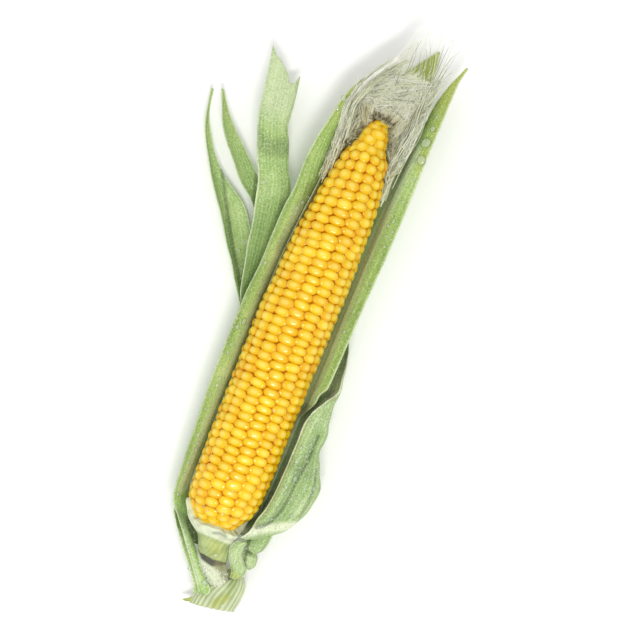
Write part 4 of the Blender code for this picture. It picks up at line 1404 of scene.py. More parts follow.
@dataclass
class Shank:
    """The stalk end: the cup under the ear, the neck, the torn pith, the ribbed stub and its flap."""

    outside: Table = (
        (-120.5, 5.6), (-119.6, 7.3), (-117, 7.7), (-112.6, 7.9), (-110.4, 9.4), (-107, 11.9), (-103, 14.4),
        (-98.5, 16.6),
    )
    lean: Table = ((-121, 6.4, 19.6), (-112, 3.2, 22.4), (-106, 1.0, 23.2), (-99, 0.2, AXIS_HEIGHT))
    stub: Table = (
        (-122.5, 18.6, 12.2, 2.6, 2.6), (-124.5, 19.0, 12.2, 4.6, 4.2), (-128, 18.4, 12.0, 7.2, 5.8),
        (-132, 17.0, 12.0, 9.0, 6.6), (-137, 15.4, 12.0, 10.2, 7.0), (-143, 14.4, 12.0, 10.4, 7.2),
    )
    pith: Table = (
        (-118, 5.0, 19.8, 6.6), (-121.5, 6.0, 18.4, 7.4), (-124, 7.8, 17.6, 7.6), (-127.5, 9.8, 16.6, 6.0),
        (-131, 10.8, 15.6, 4.0), (-133, 11.4, 15.0, 2.0),
    )
    flap: Table = (
        (-144.8, 0.0, 12.0, 1.2, 12.0, 0.0), (-143.4, 2.2, 12.2, 6.2, 12.4, 0.2), (-141.6, 4.0, 12.4, 9.0, 12.8, 0.4),
    )
    neck_end: float = -120.5
    front_rim: float = -106.6
    back_rim: float = -98.3
    ribs: int = 23
    fibres: int = 150

    def cup_part(self, skin: bpy.types.Material) -> bpy.types.Object:
        """The cup and the neck: a thick wall whose rim is low at the front, where the kernels are bare."""
        sides, count = 96, 60
        turn = np.linspace(0, 2 * math.pi, sides, endpoint=False)
        rim = self.back_rim + (self.front_rim - self.back_rim) * blend(
            0.0, 0.5, np.sin(turn) + 0.45 * np.maximum(np.cos(turn), 0)
        )
        rim = rim + 0.35 * np.sin(5 * turn + 0.7) + 0.25 * np.sin(11 * turn)
        path = [(s, "out") for s in np.linspace(0, 1, count)] + [(s, "in") for s in np.linspace(0, 1, 14)]
        rings, pale, dark = [], [], []
        for share, side in path:
            ring, light, shade = [], [], []
            for a, end in zip(turn, rim):
                y = self.neck_end + (end - self.neck_end) * (share if side == "out" else 1)
                radius = float(along(self.outside, y)[0])
                fold = 0.45 * math.sin(7 * a + 0.25 * y) + 0.28 * math.sin(13 * a - 0.4 * y)
                radius += fold * float(blend(-113, -108, y))
                if side == "in":
                    y += 4.2 * share
                    under = float(along(Ear().body, y)[1]) - 1.2
                    swell = 0.5 * math.sin(math.pi * min(1, 3 * share))
                    radius += (under - radius) * float(blend(0.0, 0.8, share)) + swell
                x, z = along(self.lean, y)
                ring.append((x + radius * math.cos(a), y, z + radius * math.sin(a)))
                # The cut rim is pale; inside the cup it is a little less pale, and darkened, as painted shade.
                light.append(float(blend(-111.6, -109.6, y)) * (1 - 0.2 * share * (side == "in")))
                shade.append(0.12 * share * (side == "in"))
            rings.append(ring)
            pale.append(light)
            dark.append(shade)
        grid = np.array(rings)
        # Painted shade: a dark crease under the front of the rim.
        crease_shade = 1 - blend(0.3, 1.2, line_distance(grid, ((2, -108), (5, -107), (8, -107.6))))
        carried = {
            "pale": np.array(pale), "dark": np.maximum(np.array(dark), 0.5 * crease_shade),
            "vein": 0.5 + 0.5 * np.sin(24 * np.arctan2(grid[..., 2] - AXIS_HEIGHT, grid[..., 0])) ** 3,
            "yellow": 0.4 * (1 - blend(1, 5, line_distance(grid, ((5, -114), (7, -117))))),
            # Painted shade: grey-brown patches on the pale rim's crinkles.
            "brown": np.clip(0.45 * waves(grid * np.array([1, 1.6, 1]), 6, 3), 0, 0.4) * np.array(pale),
            "groove": np.zeros(grid.shape[:2]),
        }
        return tube(grid, carried).object("cup", [skin])

    def pith_part(self, skin: bpy.types.Material) -> bpy.types.Object:
        """The torn pith, white and rough, with painted grey-olive shade on a shoulder and a painted shadow under the
        cup's torn edge.
        """
        sides = 48
        turn = np.linspace(0, 2 * math.pi, sides, endpoint=False)
        rings = []
        for y in np.linspace(-133, -118, 50):
            x, z, radius = along(sorted(self.pith), y)
            rings.append(np.stack([x + radius * np.cos(turn), np.full(sides, y), z + radius * np.sin(turn)], axis=1))
        grid = np.array(rings)
        centre = grid.mean(axis=1, keepdims=True)
        out = (grid - centre) / np.linalg.norm(grid - centre, axis=2, keepdims=True)
        grid = grid + out * (0.55 * waves(grid, 3.2, 21) + 0.25 * waves(grid, 1.4, 22))[..., None]
        # Painted shadow: a dark crescent under the cup's free lower edge.
        crescent_shadow = 1 - blend(1.0, 2.4, line_distance(grid, ((-0.5, -118.6), (2, -121), (7, -122.2), (12, -119.4))))
        # Painted shade: a grey-olive band down the pith's right shoulder.
        olive_shade = 1 - blend(2.0, 4.5, line_distance(grid, ((11, -121.5), (14.5, -123), (15.5, -125))))
        carried = {
            "pale": 1 - 0.6 * olive_shade, "dark": crescent_shadow, "brown": 0.75 * olive_shade, "vein": np.clip(waves(grid, 2.0, 5), 0, 1),
            "yellow": np.zeros(grid.shape[:2]),
        }
        return tube(grid, carried).object("pith", [skin])

    def stub_part(self, skin: bpy.types.Material) -> bpy.types.Object:
        """The ribbed stub, cut off across its end."""
        sides = 12 * self.ribs
        turn = np.linspace(0, 2 * math.pi, sides, endpoint=False)
        rings, veins = [], []
        for y in np.linspace(-143, -122.5, 70):
            x, z, wide, high = along(sorted(self.stub), y)
            broad_rib = (0.5 + 0.5 * np.cos(self.ribs * turn + 0.6 * np.sin(3 * turn))) ** 2
            fine_rib = 0.5 + 0.5 * np.cos(3 * self.ribs * turn)
            rib = 0.32 * broad_rib + 0.10 * fine_rib
            slope = 0.17 * wide * np.cos(turn) * (1 - blend(-143, -137, y))
            edge = 0.25 * np.sin(23 * turn) * (1 - blend(-143, -141.5, y))
            ring_x = x + (wide + rib) * np.cos(turn)
            rings.append(np.stack([ring_x, y + slope + edge, z + (high + rib) * np.sin(turn)], axis=1))
            veins.append((0.5 + 0.5 * np.cos(self.ribs * turn + 0.6 * np.sin(3 * turn))) ** 2)
        grid = np.array(rings)
        carried = {
            "pale": np.full(grid.shape[:2], 0.62)
            - 0.5 * (1 - blend(1, 3.5, line_distance(grid, ((16, -140), (20, -133), (20, -127))))),
            # Painted shade: a dark line where the stub's edge meets the pith.
            "dark": 0.75 * (1 - blend(0.2, 1.4, line_distance(grid, ((9, -132.5), (13, -128.5), (18, -126))))),
            "brown": np.zeros(grid.shape[:2]), "vein": np.array(veins) * 0.9, "groove": (1 - np.array(veins)) ** 4,
            "yellow": 0.5 * (1 - blend(0.5, 3.5, line_distance(grid, ((15, -141), (19, -136))))),
        }
        return tube(grid, carried).object("stub", [skin])

    def shreds(self, skin: bpy.types.Material) -> bpy.types.Object:
        """Torn white fibres round the pith."""
        draw = random.Random(31)
        strands = []
        for _ in range(self.fibres):
            y = draw.uniform(-132, -124)
            x, z, radius = along(sorted(self.pith), y)
            a = draw.uniform(0.1, math.pi - 0.1)
            start = np.array([x + radius * 0.9 * math.cos(a), y, z + radius * 0.9 * math.sin(a)])
            way = np.array(
                [
                    0.5 * math.cos(a) + draw.uniform(-0.6, 0.6), draw.uniform(-1.6, 0.5),
                    0.55 * math.sin(a) + draw.uniform(-0.2, 0.3)
                ]
            )
            end = start + way / np.linalg.norm(way) * draw.uniform(1.0, 2.8)
            middle = (start + end) / 2 + np.array([draw.uniform(-0.4, 0.4) for _ in range(3)])
            strands.append(Strand(curve((start, middle, end), 5), 0.2, draw.uniform(0.0, 0.2)))
        return grow_strands("pith_fibres", strands, skin)

    def build(self) -> bpy.types.Object:
        """Builds the stalk and hands it over."""
        skin = StalkFinish().material()
        white = SilkFinish("pith_fibre", linear(248, 248, 238), linear(232, 230, 214), linear(200, 196, 184)).material()
        flap_rows = np.array([free_row(self.flap, y, 15) for y in np.linspace(-144.8, -141.6, 16)])
        flat = np.zeros((*flap_rows.shape[:2], 2))
        plain = np.zeros(flap_rows.shape[:2])
        carried = {"pale": plain, "dark": plain, "brown": plain, "vein": plain + 0.2, "yellow": plain + 0.5}
        flap = shell(flap_rows, np.full(flap_rows.shape[:2], 0.7), carried, flat).object("flap", [skin])
        parts = [self.cup_part(skin), self.pith_part(skin), self.stub_part(skin), flap, self.shreds(white)]
        return place(joined("stalk_end", parts), ["shank"], "stalk")


# The silk


@dataclass
class Strand:
    """One thread: its points, radius, and place between pale, green and grey."""

    points: np.ndarray
    radius: float
    tone: float
    yellow: float = 0.0
    brown: float = 0.0


def strand_tree() -> Growth:
    """Draws a thin tube along each run of edges, as thick as its points say."""
    growth = Growth("threads")
    thickness = growth.ask("Thickness", "Float", 1.0)
    sides = growth.ask("Sides", "Int", 4)
    material = growth.ask("Material", "Material")
    line = growth.node("GeometryNodeMeshToCurve", None, {"Mesh": growth.source})
    radius = growth.node(
        "ShaderNodeMath", {"operation": "MULTIPLY"}, {0: growth.carried("radius", "FLOAT"), 1: thickness}
    )
    outline = growth.node("GeometryNodeCurvePrimitiveCircle", None, {"Resolution": sides, "Radius": 1.0})
    values = {"Curve": line, "Profile Curve": outline, "Fill Caps": True, "Scale": radius}
    growth.end(growth.node("GeometryNodeCurveToMesh", None, values), material)
    return growth


def grow_strands(name: str, strands: Sequence[Strand], material: bpy.types.Material) -> bpy.types.Object:
    """Turns threads into one mesh.

    Args:
        name: The object's name.
        strands: The threads.
        material: Their material.

    Returns:
        The object.
    """
    points = np.concatenate([s.points for s in strands])
    starts = np.cumsum([0, *(len(s.points) for s in strands)])
    edges = [(i, i + 1) for a, b in zip(starts[:-1], starts[1:]) for i in range(a, b - 1)]
    mesh = bpy.data.meshes.new(name)
    mesh.from_pydata((points * MM).tolist(), edges, [])
    taper = np.concatenate([s.radius * MM * (1 - 0.55 * np.linspace(0, 1, len(s.points)) ** 2) for s in strands])
    carried = {"radius": taper}
    for key in ("tone", "yellow", "brown"):
        carried[key] = np.concatenate([np.full(len(s.points), getattr(s, key)) for s in strands])
    for key, values in carried.items():
        mesh.attributes.new(key, "FLOAT", "POINT").data.foreach_set("value", values.astype(np.float32))
    source = bpy.data.objects.new(name, mesh)
    bpy.context.scene.collection.objects.link(source)
    return strand_tree().grow(name, source, Thickness=1.1, Sides=3, Material=material)


@dataclass
class Silk:
    """The tuft: a core under and beyond the ear's tip, threads over it and beside the ear, and loose ends."""

    core: Table = (
        (88, 2.8, 11.6, 5.0, 2.2), (94, 2.8, 11.8, 10.0, 3.4), (104, 3.0, 12.8, 12.4, 4.6), (108, 3.4, 17.0, 15.0, 8.4),
        (114, 4.0, 19.0, 15.6, 9.4), (122, 5.8, 20.0, 14.2, 9.0), (130, 9.5, 20.2, 11.0, 7.6),
        (137, 12.6, 20.4, 7.6, 5.6),
        (142, 14.6, 20.6, 3.6, 3.0),
    )
    tips: Table = (
        (3.0, 143.0, 20.0), (8.5, 154.5, 17.0), (14.0, 156.5, 22.0), (20.0, 154.0, 26.0), (25.0, 150.0, 19.0),
        (27.0, 143.0, 26.0), (24.5, 133.0, 28.0), (-2.0, 136.0, 24.0), (11.0, 149.0, 27.0), (17.0, 150.0, 16.0),
        (22.0, 144.0, 21.0), (6.0, 147.0, 28.0), (-6.0, 130.0, 21.0), (-9.5, 124.0, 25.0), (23.0, 124.0, 24.0),
        (-13.0, 116.0, 23.0), (0.0, 139.0, 17.0), (11.0, 152.0, 20.0), (24.0, 146.0, 23.0), (25.5, 137.0, 22.0),
        (22.5, 116.0, 26.0), (3.0, 134.0, 30.0), (14.0, 142.0, 29.0), (-4.0, 122.0, 31.0), (9.0, 122.0, 32.0),
        (16.0, 128.0, 31.0), (10.0, 140.0, 13.0), (0.0, 128.0, 11.0), (18.0, 134.0, 13.0),
    )
    routes: tuple = (
        (
            (-13.0, 68.0, 22.6), (-12.6, 80.0, 22.6), (-14.0, 92.0, 22.4), (-15.6, 105.0, 21.6), (-12.6, 117.0, 22.0),
            (-6.5, 129.0, 21.0), (1.5, 140.0, 20.0)
        ),
        (
            (-10.8, 84.0, 25.0), (-11.6, 94.0, 25.2), (-12.6, 105.0, 25.0), (-9.0, 117.0, 26.0), (-2.5, 129.0, 24.0),
            (6.5, 141.0, 22.0)
        ),
        (
            (17.6, 66.0, 22.8), (17.6, 80.0, 22.6), (19.2, 92.0, 22.0), (20.6, 104.0, 21.6), (20.2, 116.0, 22.0),
            (20.6, 128.0, 21.0), (22.0, 137.0, 21.0)
        ),
        (
            (14.8, 84.0, 25.0), (16.0, 94.0, 25.2), (17.2, 105.0, 25.0), (17.0, 117.0, 26.0), (17.6, 129.0, 24.0),
            (19.0, 139.0, 22.0)
        ),
    )
    dried_and_gap_shade: Table = (
        (-1.6, 103.6, 26.5, 0.8, 20), (1.0, 105.4, 27.2, 0.8, 24), (4.0, 105.6, 27.2, 0.8, 24),
        (6.8, 104.2, 26.5, 0.8, 20),
        # These rows put dark stubs in the gaps beside the ear's tip, which lie in shadow: painted shade.
        (-4.4, 97.0, 26.0, 0.8, 12), (-6.6, 92.6, 26.0, 0.8, 16), (-8.8, 88.0, 26.0, 0.8, 16),
        (9.6, 98.6, 26.0, 0.7, 12),
        (11.0, 93.0, 26.0, 0.6, 12),
    )
    hood_threads: int = 620
    short_threads: int = 900
    crossing_threads: int = 520
    veil_threads: int = 420
    bundle_threads: int = 58
    border_threads: int = 46
    yellow_threads: int = 150
    seed: int = 17

    def skin_point(self, y: float, angle: float, lift: float) -> np.ndarray:
        """A point just over the core.

        Args:
            y: Position along the ear.
            angle: Angle round the core, 0 on the right and a quarter turn at the front.
            lift: Height over the core.

        Returns:
            The point.
        """
        x, z, wide, high = along(self.core, y)
        return np.array([x + (wide + lift) * math.cos(angle), y, z + (high + lift) * math.sin(angle)])

    def hood(self, draw: random.Random) -> list[Strand]:
        """Long threads that run over the core from the ear's tip."""
        found = []
        for _ in range(self.hood_threads):
            angle = draw.uniform(-0.35, math.pi + 0.35) if draw.random() < 0.78 else draw.uniform(0, 2 * math.pi)
            side = math.cos(angle)
            start, end = draw.uniform(104.5, 116), draw.uniform(120, min(138, 134 - 6 * side))
            drift = draw.uniform(-0.22, 0.22)
            lift = draw.uniform(-0.3, 1.0)
            wave = draw.uniform(0, 6)
            points = []
            for t in np.linspace(0, 1, 12):
                y = start + (end - start) * t
                points.append(
                    self.skin_point(
                        y, angle + drift * (t - 0.3) + 0.05 * math.sin(wave + 7 * t),
                        lift + 0.25 * math.sin(wave + 9 * t)
                    )
                )
            found.append(Strand(np.array(points), draw.uniform(0.10, 0.17), draw.random() * 0.95))
        return found

    def hairs(self, draw: random.Random) -> list[Strand]:
        """Short crossing threads over the core."""
        found = []
        for _ in range(self.short_threads):
            y = draw.uniform(104, 127)
            angle = draw.uniform(-0.2, math.pi + 0.2)
            slant = draw.uniform(-0.6, 0.6)
            reach = draw.uniform(2.5, 7)
            lift = draw.uniform(0.7, 1.7)
            points = []
            for t in np.linspace(0, 1, 6):
                here = min(y + reach * t, 141.5)
                points.append(self.skin_point(here, angle + slant * t * 6 / reach, lift + 0.3 * math.sin(3 * t)))
            found.append(Strand(np.array(points), draw.uniform(0.08, 0.13), draw.random() ** 0.85))
        return found

    def tangle(self, draw: random.Random) -> list[Strand]:
        """Short threads that cross the bundles beside the ear."""
        found = []
        for _ in range(self.crossing_threads):
            right = draw.random() < 0.72
            y = draw.uniform(68, 118)
            drift, radius = along(Ear().body, min(y, 104))
            inner = drift + (radius + 0.6 if right else -radius - 0.6)
            outer = (16.5 + 5.5 * float(blend(66, 106, y))) if right else -15.4
            if y > 104:
                inner = (inner + outer) / 2
            x = draw.uniform(min(inner, outer), max(inner, outer))
            way = np.array([draw.uniform(-1.0, 1.0), draw.uniform(0.5, 1.6), draw.uniform(-0.2, 0.3)])
            start = np.array([x, y, draw.uniform(23.2, 26.2)])
            end = start + way / np.linalg.norm(way) * draw.uniform(3, 8)
            end[0] = min(max(end[0], -15.8), max(outer, x) + 0.4)
            middle = (start + end) / 2 + np.array([draw.uniform(-0.6, 0.6), 0, draw.uniform(0, 0.8)])
            near_ear = 1 - min(1.0, abs(x - inner) / 5)
            found.append(
                Strand(
                    curve((start, middle, end), 7), draw.uniform(0.08, 0.14), draw.random() ** 0.7,
                    0.8 * draw.random() * near_ear
                )
            )
        return found

    def veil(self, draw: random.Random) -> list[Strand]:
        """Threads that fill the room between the ear's end and the bundles beside it."""
        found = []
        for _ in range(self.veil_threads):
            way = draw.choice((-1, 1))
            share = draw.random()
            start = draw.uniform(66, 96)
            end = min(start + draw.uniform(12, 30), 116)
            points = []
            wave = draw.uniform(0, 6)
            for t in np.linspace(0, 1, 11):
                y = start + (end - start) * t
                drift, radius = along(Ear().body, min(y, 104))
                inner = drift + way * (radius + 0.3)
                outer = (-15.2 if way < 0 else 20.2) + (2.2 if y < 84 else 0) * -way
                x = inner + (outer - inner) * (0.1 + 0.85 * share + 0.12 * math.sin(wave + 6 * t))
                points.append(
                    (x, y, 20.0 + 4.0 * math.sin(wave * 3) * 0.5 + 2.5 * share + 0.4 * math.sin(wave + 5 * t))
                )
            dull = 0.15 + 0.85 * draw.random()
            found.append(Strand(np.array(points), draw.uniform(0.10, 0.17), dull, 0.6 * draw.random() * (1 - share)))
        return found

    def sides(self, draw: random.Random) -> list[Strand]:
        """Bundles beside the ear, down between it and the husk."""
        found = []
        for number, route in enumerate(self.routes):
            for _ in range(self.bundle_threads):
                shift = np.array([draw.gauss(0, 0.9), 0, draw.gauss(0, 1.0)])
                start = draw.uniform(0, 0.45)
                end = draw.uniform(0.7, 1.0)
                line = curve(route, 26)
                line = line[int(start * 25): max(int(end * 25), int(start * 25) + 6)] + np.clip(shift, -2.0, 2.0)
                sway = draw.uniform(0, 6)
                line = line + np.stack(
                    [0.35 * np.sin(sway + line[:, 1] / 4), 0 * line[:, 1], 0.3 * np.cos(sway + line[:, 1] / 5)], axis=1
                )
                dim = 0.25 if number % 2 else 0.0
                found.append(Strand(line, draw.uniform(0.12, 0.2), min(1.0, draw.random() + dim)))
        return found

    def border(self, draw: random.Random) -> list[Strand]:
        """The smooth white threads that sweep up the left edge to the furthest tips."""
        found = []
        for _ in range(self.border_threads):
            spread = draw.uniform(0, 1)
            tip = np.array([draw.uniform(1.0, 11.0), draw.uniform(139, 154), draw.uniform(17, 24)])
            route = (
                (-13.4 + 2.6 * spread, 90 + draw.uniform(-6, 6), 23.5), (-15.4 + 3 * spread, 103, 22.8),
                (-13.6 + 3.6 * spread, 114, 24.0),
                (-9.4 + 4.2 * spread, 124, 24.2), (-3.2 + 4.6 * spread, 134, 23.0), tuple(tip),
            )
            found.append(Strand(curve(route, 24), draw.uniform(0.13, 0.19), draw.uniform(0, 0.3)))
        return found

    def loose(self, draw: random.Random) -> list[Strand]:
        """Single threads out to each of the tuft's tips."""
        found = []
        for x, y, z in self.tips:
            for copy in range(3):
                root_y = min(128.0, y - 16) - 3 * copy
                cx, cz = along(self.core, root_y)[:2]
                turn = math.atan2(z - cz, x - cx)
                root = self.skin_point(root_y, turn, -0.8)
                end = np.array([x, y, z]) + copy * np.array(
                    [draw.uniform(-2, 1), draw.uniform(-5, -1), draw.uniform(-2, 2)]
                )
                middle = root + (end - root) * 0.55 + np.array([draw.uniform(-1.5, 1.5), 0, draw.uniform(-1, 1)])
                found.append(Strand(curve((root, middle, end), 12), draw.uniform(0.10, 0.15), draw.uniform(0.8, 1.0)))
        return found

    def collar(self, draw: random.Random) -> list[Strand]:
        """Dried brown stubs and yellow threads close round the ear's tip; the stubs in the gaps beside it stand as
        painted shade.
        """
        found = []
        for x, y, z, spread, count in self.dried_and_gap_shade:
            for _ in range(count):
                start = np.array([x + draw.gauss(0, spread), y + draw.gauss(0, spread * 0.8), z + draw.gauss(0, 0.8)])
                way = np.array([draw.uniform(-1, 1), draw.uniform(-0.3, 1.2), draw.uniform(-0.5, 0.3)])
                end = start + way / np.linalg.norm(way) * draw.uniform(0.9, 2.2)
                middle = (start + end) / 2 + np.array([draw.uniform(-0.3, 0.3) for _ in range(3)])
                found.append(Strand(curve((start, middle, end), 5), 0.3, 0.6, 0.3, draw.uniform(0.3, 1.0)))
        for _ in range(self.yellow_threads):
            angle = draw.uniform(-0.3, math.pi + 0.3)
            out = draw.uniform(5.5, 9.0)
            start = np.array([2.6 + out * math.cos(angle), draw.uniform(96, 104), 19.5 + 0.55 * out * math.sin(angle)])
            end_y = draw.uniform(110, 120)
            end = self.skin_point(end_y, angle + draw.uniform(-0.2, 0.2), 0.7)
            middle = (start + end) / 2 + np.array([1.5 * math.cos(angle), 0, 1.0])
            found.append(
                Strand(
                    curve((start, middle, end), 9), draw.uniform(0.12, 0.2), draw.uniform(0.1, 0.6),
                    draw.uniform(0.1, 0.9)
                )
            )
        return found

    def build(self) -> bpy.types.Object:
        """Builds the silk and hands it over."""
        draw = random.Random(self.seed)
        thread = SilkFinish().material()
        makers = (self.hood, self.hairs, self.veil, self.tangle, self.sides, self.border, self.loose, self.collar)
        strands = [strand for maker in makers for strand in maker(draw)]
        threads = grow_strands("threads", strands, thread)
        sides = 60
        turn = np.linspace(0, 2 * math.pi, sides, endpoint=False)
        rings = []
        for y in np.linspace(88, 130, 60):
            x, z, wide, high = along(self.core, y)
            ridge = 0.35 * np.sin(15 * turn + 0.2 * y) - 0.7
            rings.append(
                np.stack(
                    [x + (wide + ridge) * np.cos(turn), np.full(sides, y), z + (high + ridge) * np.sin(turn)], axis=1
                )
            )
        grid = np.array(rings)
        tone = 0.62 + 0.3 * np.sin(30 * turn)[None, :] * np.ones((60, 1))
        carried = {"tone": tone, "yellow": np.zeros_like(tone), "brown": 0.35 * (1 - blend(104, 112, grid[..., 1]))}
        core = tube(grid, carried).object("core", [thread])
        return place(joined("silk_tuft", [threads, core]), ["silk"], "silk")


# Water


@dataclass
class Drops:
    """Water drops that sit on the leaves and kernels."""

    places: Table = (
        (26.5, 102.5, 4.2), (27.5, 94, 4.0), (27, 110, 2.4), (26.5, 116, 1.4), (24, 93, 1.5), (23, 66, 1.5),
        (26, 62, 1.8),
        (24.5, 59, 1.3), (27.5, 57, 1.6), (25.5, 54, 1.4), (28, 53, 1.2), (26.5, 49, 1.5), (24, 4, 1.5),
        (-18, 107.5, 2.6), (-19, 102, 2.0), (-16.5, 57.5, 1.6), (-18, 54, 2.0), (-19.5, 50.5, 1.6), (-23.5, 20.5, 1.8),
        (-19, -2, 1.6), (-22.5, -9.5, 2.4), (-24.5, -13, 2.0), (-24, -22, 1.7), (-24, -26, 1.8), (-23, -39, 1.6),
        (-23, -42.5, 1.9), (-22.5, -68, 1.7), (-21.5, -72, 1.5), (-21, -75, 1.8), (-22, -82, 1.6), (-21.5, -88, 1.5),
        (-21, -98, 1.6), (-39, 56, 1.8), (-36.5, 26, 1.8), (-38, 21.5, 1.5), (-33.5, 13.5, 1.6), (26, -42, 1.5),
        (30, -49, 1.4), (29, -52, 1.6), (25.5, -55, 1.5), (30, -55, 1.4), (29, -58, 1.7), (26, -62, 1.5),
        (28.5, -64, 1.5),
        (27.5, -67, 1.7), (28, -70, 3.0), (26, -75, 1.5), (26.5, -78, 1.6), (38.5, -71, 1.8), (39, -74, 1.4),
        (33.5, -87, 1.5), (26, -86, 1.5), (25, -92, 1.4), (22, -97, 1.4), (7, -118, 1.8),
        (-2.5, -129, 1.6), (7, -132.5, 2.2), (19, -140, 1.6), (16.5, -117.5, 1.3), (19, -110.5, 1.6), (-7, -98, 0.9),
        (-4.5, -99, 0.9), (3, -97.5, 0.9), (7, -43.5, 0.8), (3, -86, 0.8),
        (31, -60, 1.1), (31.5, -64, 1.0), (33, -68, 1.1), (34.5, -73, 1.0), (36, -66, 1.1), (32, -78, 1.1),
        (30, -82, 1.0),
        (35.5, -79, 1.0), (29.5, -90, 1.0), (-24.5, -48, 1.1), (-24, -55, 1.2), (-23.5, -62, 1.0), (-21, 6, 1.1),
        (-20.5, 12, 1.0), (25, 20, 1.1), (27, 30, 1.0), (25.8, 72, 1.0), (28, 84, 1.1),
    )
    seed: int = 5

    def shape(self, material: bpy.types.Material) -> bpy.types.Object:
        """One drop, a unit across, flat below and a little sunk."""
        sides = 12
        turn = np.arange(sides) * 2 * math.pi / sides
        profile = ((-0.10, 0.40), (0.02, 0.5), (0.14, 0.475), (0.26, 0.38), (0.34, 0.22))
        rings = [np.stack([r * np.cos(turn), r * np.sin(turn), np.full(sides, h)], axis=1) for h, r in profile]
        points, faces = domed(rings, (0, 0, 0.37))
        rim = np.append(np.repeat([1.0, 1.0, 0.75, 0.2, 0.0], sides), 0.0)
        return Patch(points / MM, faces, {"rim": rim}).object("drop", [material])

    def tree(self) -> Growth:
        """Stands a drop on each point."""
        growth = Growth("drops")
        drop = growth.ask("Drop", "Object")
        size = growth.ask("Size", "Float", 1.0)
        material = growth.ask("Material", "Material")
        shape = growth.node("GeometryNodeObjectInfo", None, {"Object": drop}, "Geometry")
        turn = growth.node("FunctionNodeEulerToRotation", None, {0: growth.carried("turn", "FLOAT_VECTOR")})
        scale = growth.node(
            "ShaderNodeVectorMath", {"operation": "SCALE"}, {0: growth.carried("size", "FLOAT_VECTOR"), "Scale": size}
        )
        stood = growth.node(
            "GeometryNodeInstanceOnPoints", None,
            {"Points": growth.source, "Instance": shape, "Rotation": turn, "Scale": scale}
        )
        growth.end(stood, material)
        return growth

    def build(self, carriers: Sequence[bpy.types.Object]) -> bpy.types.Object:
        """Builds the drops on the pieces that carry them.

        Args:
            carriers: The pieces that a drop may sit on.

        Returns:
            The drops as one piece.
        """
        graph = bpy.context.evaluated_depsgraph_get()
        trees = [BVHTree.FromObject(carrier, graph) for carrier in carriers]
        points, turns, sizes = [], [], []
        draw = random.Random(self.seed)
        for x, y, width in self.places:
            hits = [t.ray_cast(Vector((x * MM, y * MM, 0.2)), Vector((0, 0, -1))) for t in trees]
            hits = [hit for hit in hits if hit[0] is not None]
            if not hits:
                LOG.info("no leaf under the drop at %.1f, %.1f", x, y)
                continue
            at, normal, _, _ = max(hits, key=lambda hit: hit[0].z)
            if normal.z < 0:
                normal = -normal
            turn = Euler((0, 0, draw.uniform(0, 6))).to_matrix()
            points.append(tuple(at / MM))
            turns.append(tuple((normal.to_track_quat("Z", "Y").to_matrix() @ turn).to_euler()))
            wide = width * 1.15 + 0.2
            sizes.append((wide, wide * draw.uniform(1.0, 1.25), wide * draw.uniform(0.9, 1.1)))
        clear = WaterFinish().material()
        source = Patch(
            np.array(points), [], {"turn": np.array(turns), "size": np.array(sizes) * MM}
        ).object("drop_places")
        shape = self.shape(clear)
        made = self.tree().grow("water_drops", source, Drop=shape, Size=1.0, Material=clear)
        bpy.data.objects.remove(shape)
        return place(made, [], "water")


# The stage


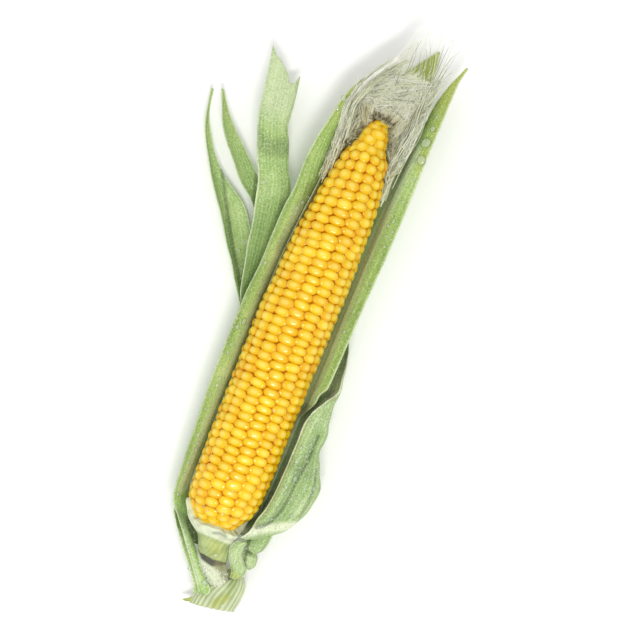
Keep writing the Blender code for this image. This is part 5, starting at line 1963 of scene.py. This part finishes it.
@dataclass
class Studio:
    """A pale floor, soft lights and the camera over the part."""

    centre: tuple[float, float] = (11.04, 4.92)
    width: float = 307.2
    lean: float = 22.0
    lens: float = 200.0
    sensor: float = 36.0
    camera_lift: float = 0.02
    floor_reach: float = 6.0
    floor_height: float = -0.0002

    def floor(self) -> None:
        """The surface that the part lies on."""
        mesh = bpy.data.meshes.new("floor")
        reach = self.floor_reach
        ends = ((-reach, -reach), (reach, -reach), (reach, reach), (-reach, reach))
        corners = [(x, y, self.floor_height) for x, y in ends]
        mesh.from_pydata(corners, [], [(0, 1, 2, 3)])
        paint = Paint("floor_paper")
        grain = paint.noise(paint.stretched(1, 1, 1, "Object"), 900, 2.0)
        colour = paint.mix((0.93, 0.93, 0.925), (0.96, 0.96, 0.955), grain)
        mesh.materials.append(paint.dress(Base_Color=colour, Roughness=0.9, Specular_IOR_Level=0.1))
        floor = bpy.data.objects.new("floor", mesh)
        bpy.context.scene.collection.objects.link(floor)

    def light(self, name: str, place_at: tuple, size: tuple, power: float, colour: Colour = (1, 1, 1)) -> None:
        """Adds a soft light that faces the part.

        Args:
            name: Its name.
            place_at: Where it stands, in metres.
            size: Its width and height in metres.
            power: Its power in watts.
            colour: Its colour.
        """
        lamp = bpy.data.lights.new(name, "AREA")
        lamp.shape = "RECTANGLE"
        lamp.size, lamp.size_y = size
        lamp.energy = power
        lamp.color = colour
        made = bpy.data.objects.new(name, lamp)
        made.location = place_at
        made.rotation_euler = (-Vector(place_at)).to_track_quat("-Z", "Y").to_euler()
        bpy.context.scene.collection.objects.link(made)

    def build(self) -> None:
        """Builds the floor, lights, world and camera."""
        self.floor()
        self.light("key", (0.12, -0.26, 0.76), (0.24, 0.1), 2.8, (1.0, 0.99, 0.97))
        self.light("fill", (-0.5, 0.4, 0.9), (0.9, 0.9), 1.5)
        world = bpy.data.worlds.new("studio")
        world.use_nodes = True
        back = world.node_tree.nodes["Background"]
        back.inputs["Color"].default_value = (1, 1, 1, 1)
        back.inputs["Strength"].default_value = 0.8
        bpy.context.scene.world = world
        bpy.context.scene.view_settings.view_transform = "Standard"
        lens = bpy.data.cameras.new("camera")
        lens.lens = self.lens
        lens.sensor_width = self.sensor
        distance = self.width * MM / 2 / (self.sensor / 2 / self.lens)
        lens.clip_start, lens.clip_end = 0.1, 20.0
        made = bpy.data.objects.new("camera", lens)
        made.location = (self.centre[0] * MM, self.centre[1] * MM, distance + self.camera_lift)
        made.rotation_euler = (0, 0, math.radians(self.lean))
        bpy.context.scene.collection.objects.link(made)
        bpy.context.scene.camera = made


def main() -> None:
    """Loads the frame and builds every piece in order."""
    logging.basicConfig(level=logging.INFO, format="%(name)s: %(message)s")
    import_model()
    Studio().build()
    leaves = Husk().build()
    ear = Ear().build()
    shank = Shank().build()
    silk = Silk().build()
    Drops().build([*leaves, ear, shank])
    LOG.info("silk has %d faces", len(silk.data.polygons))


if __name__ == "__main__":
    main()
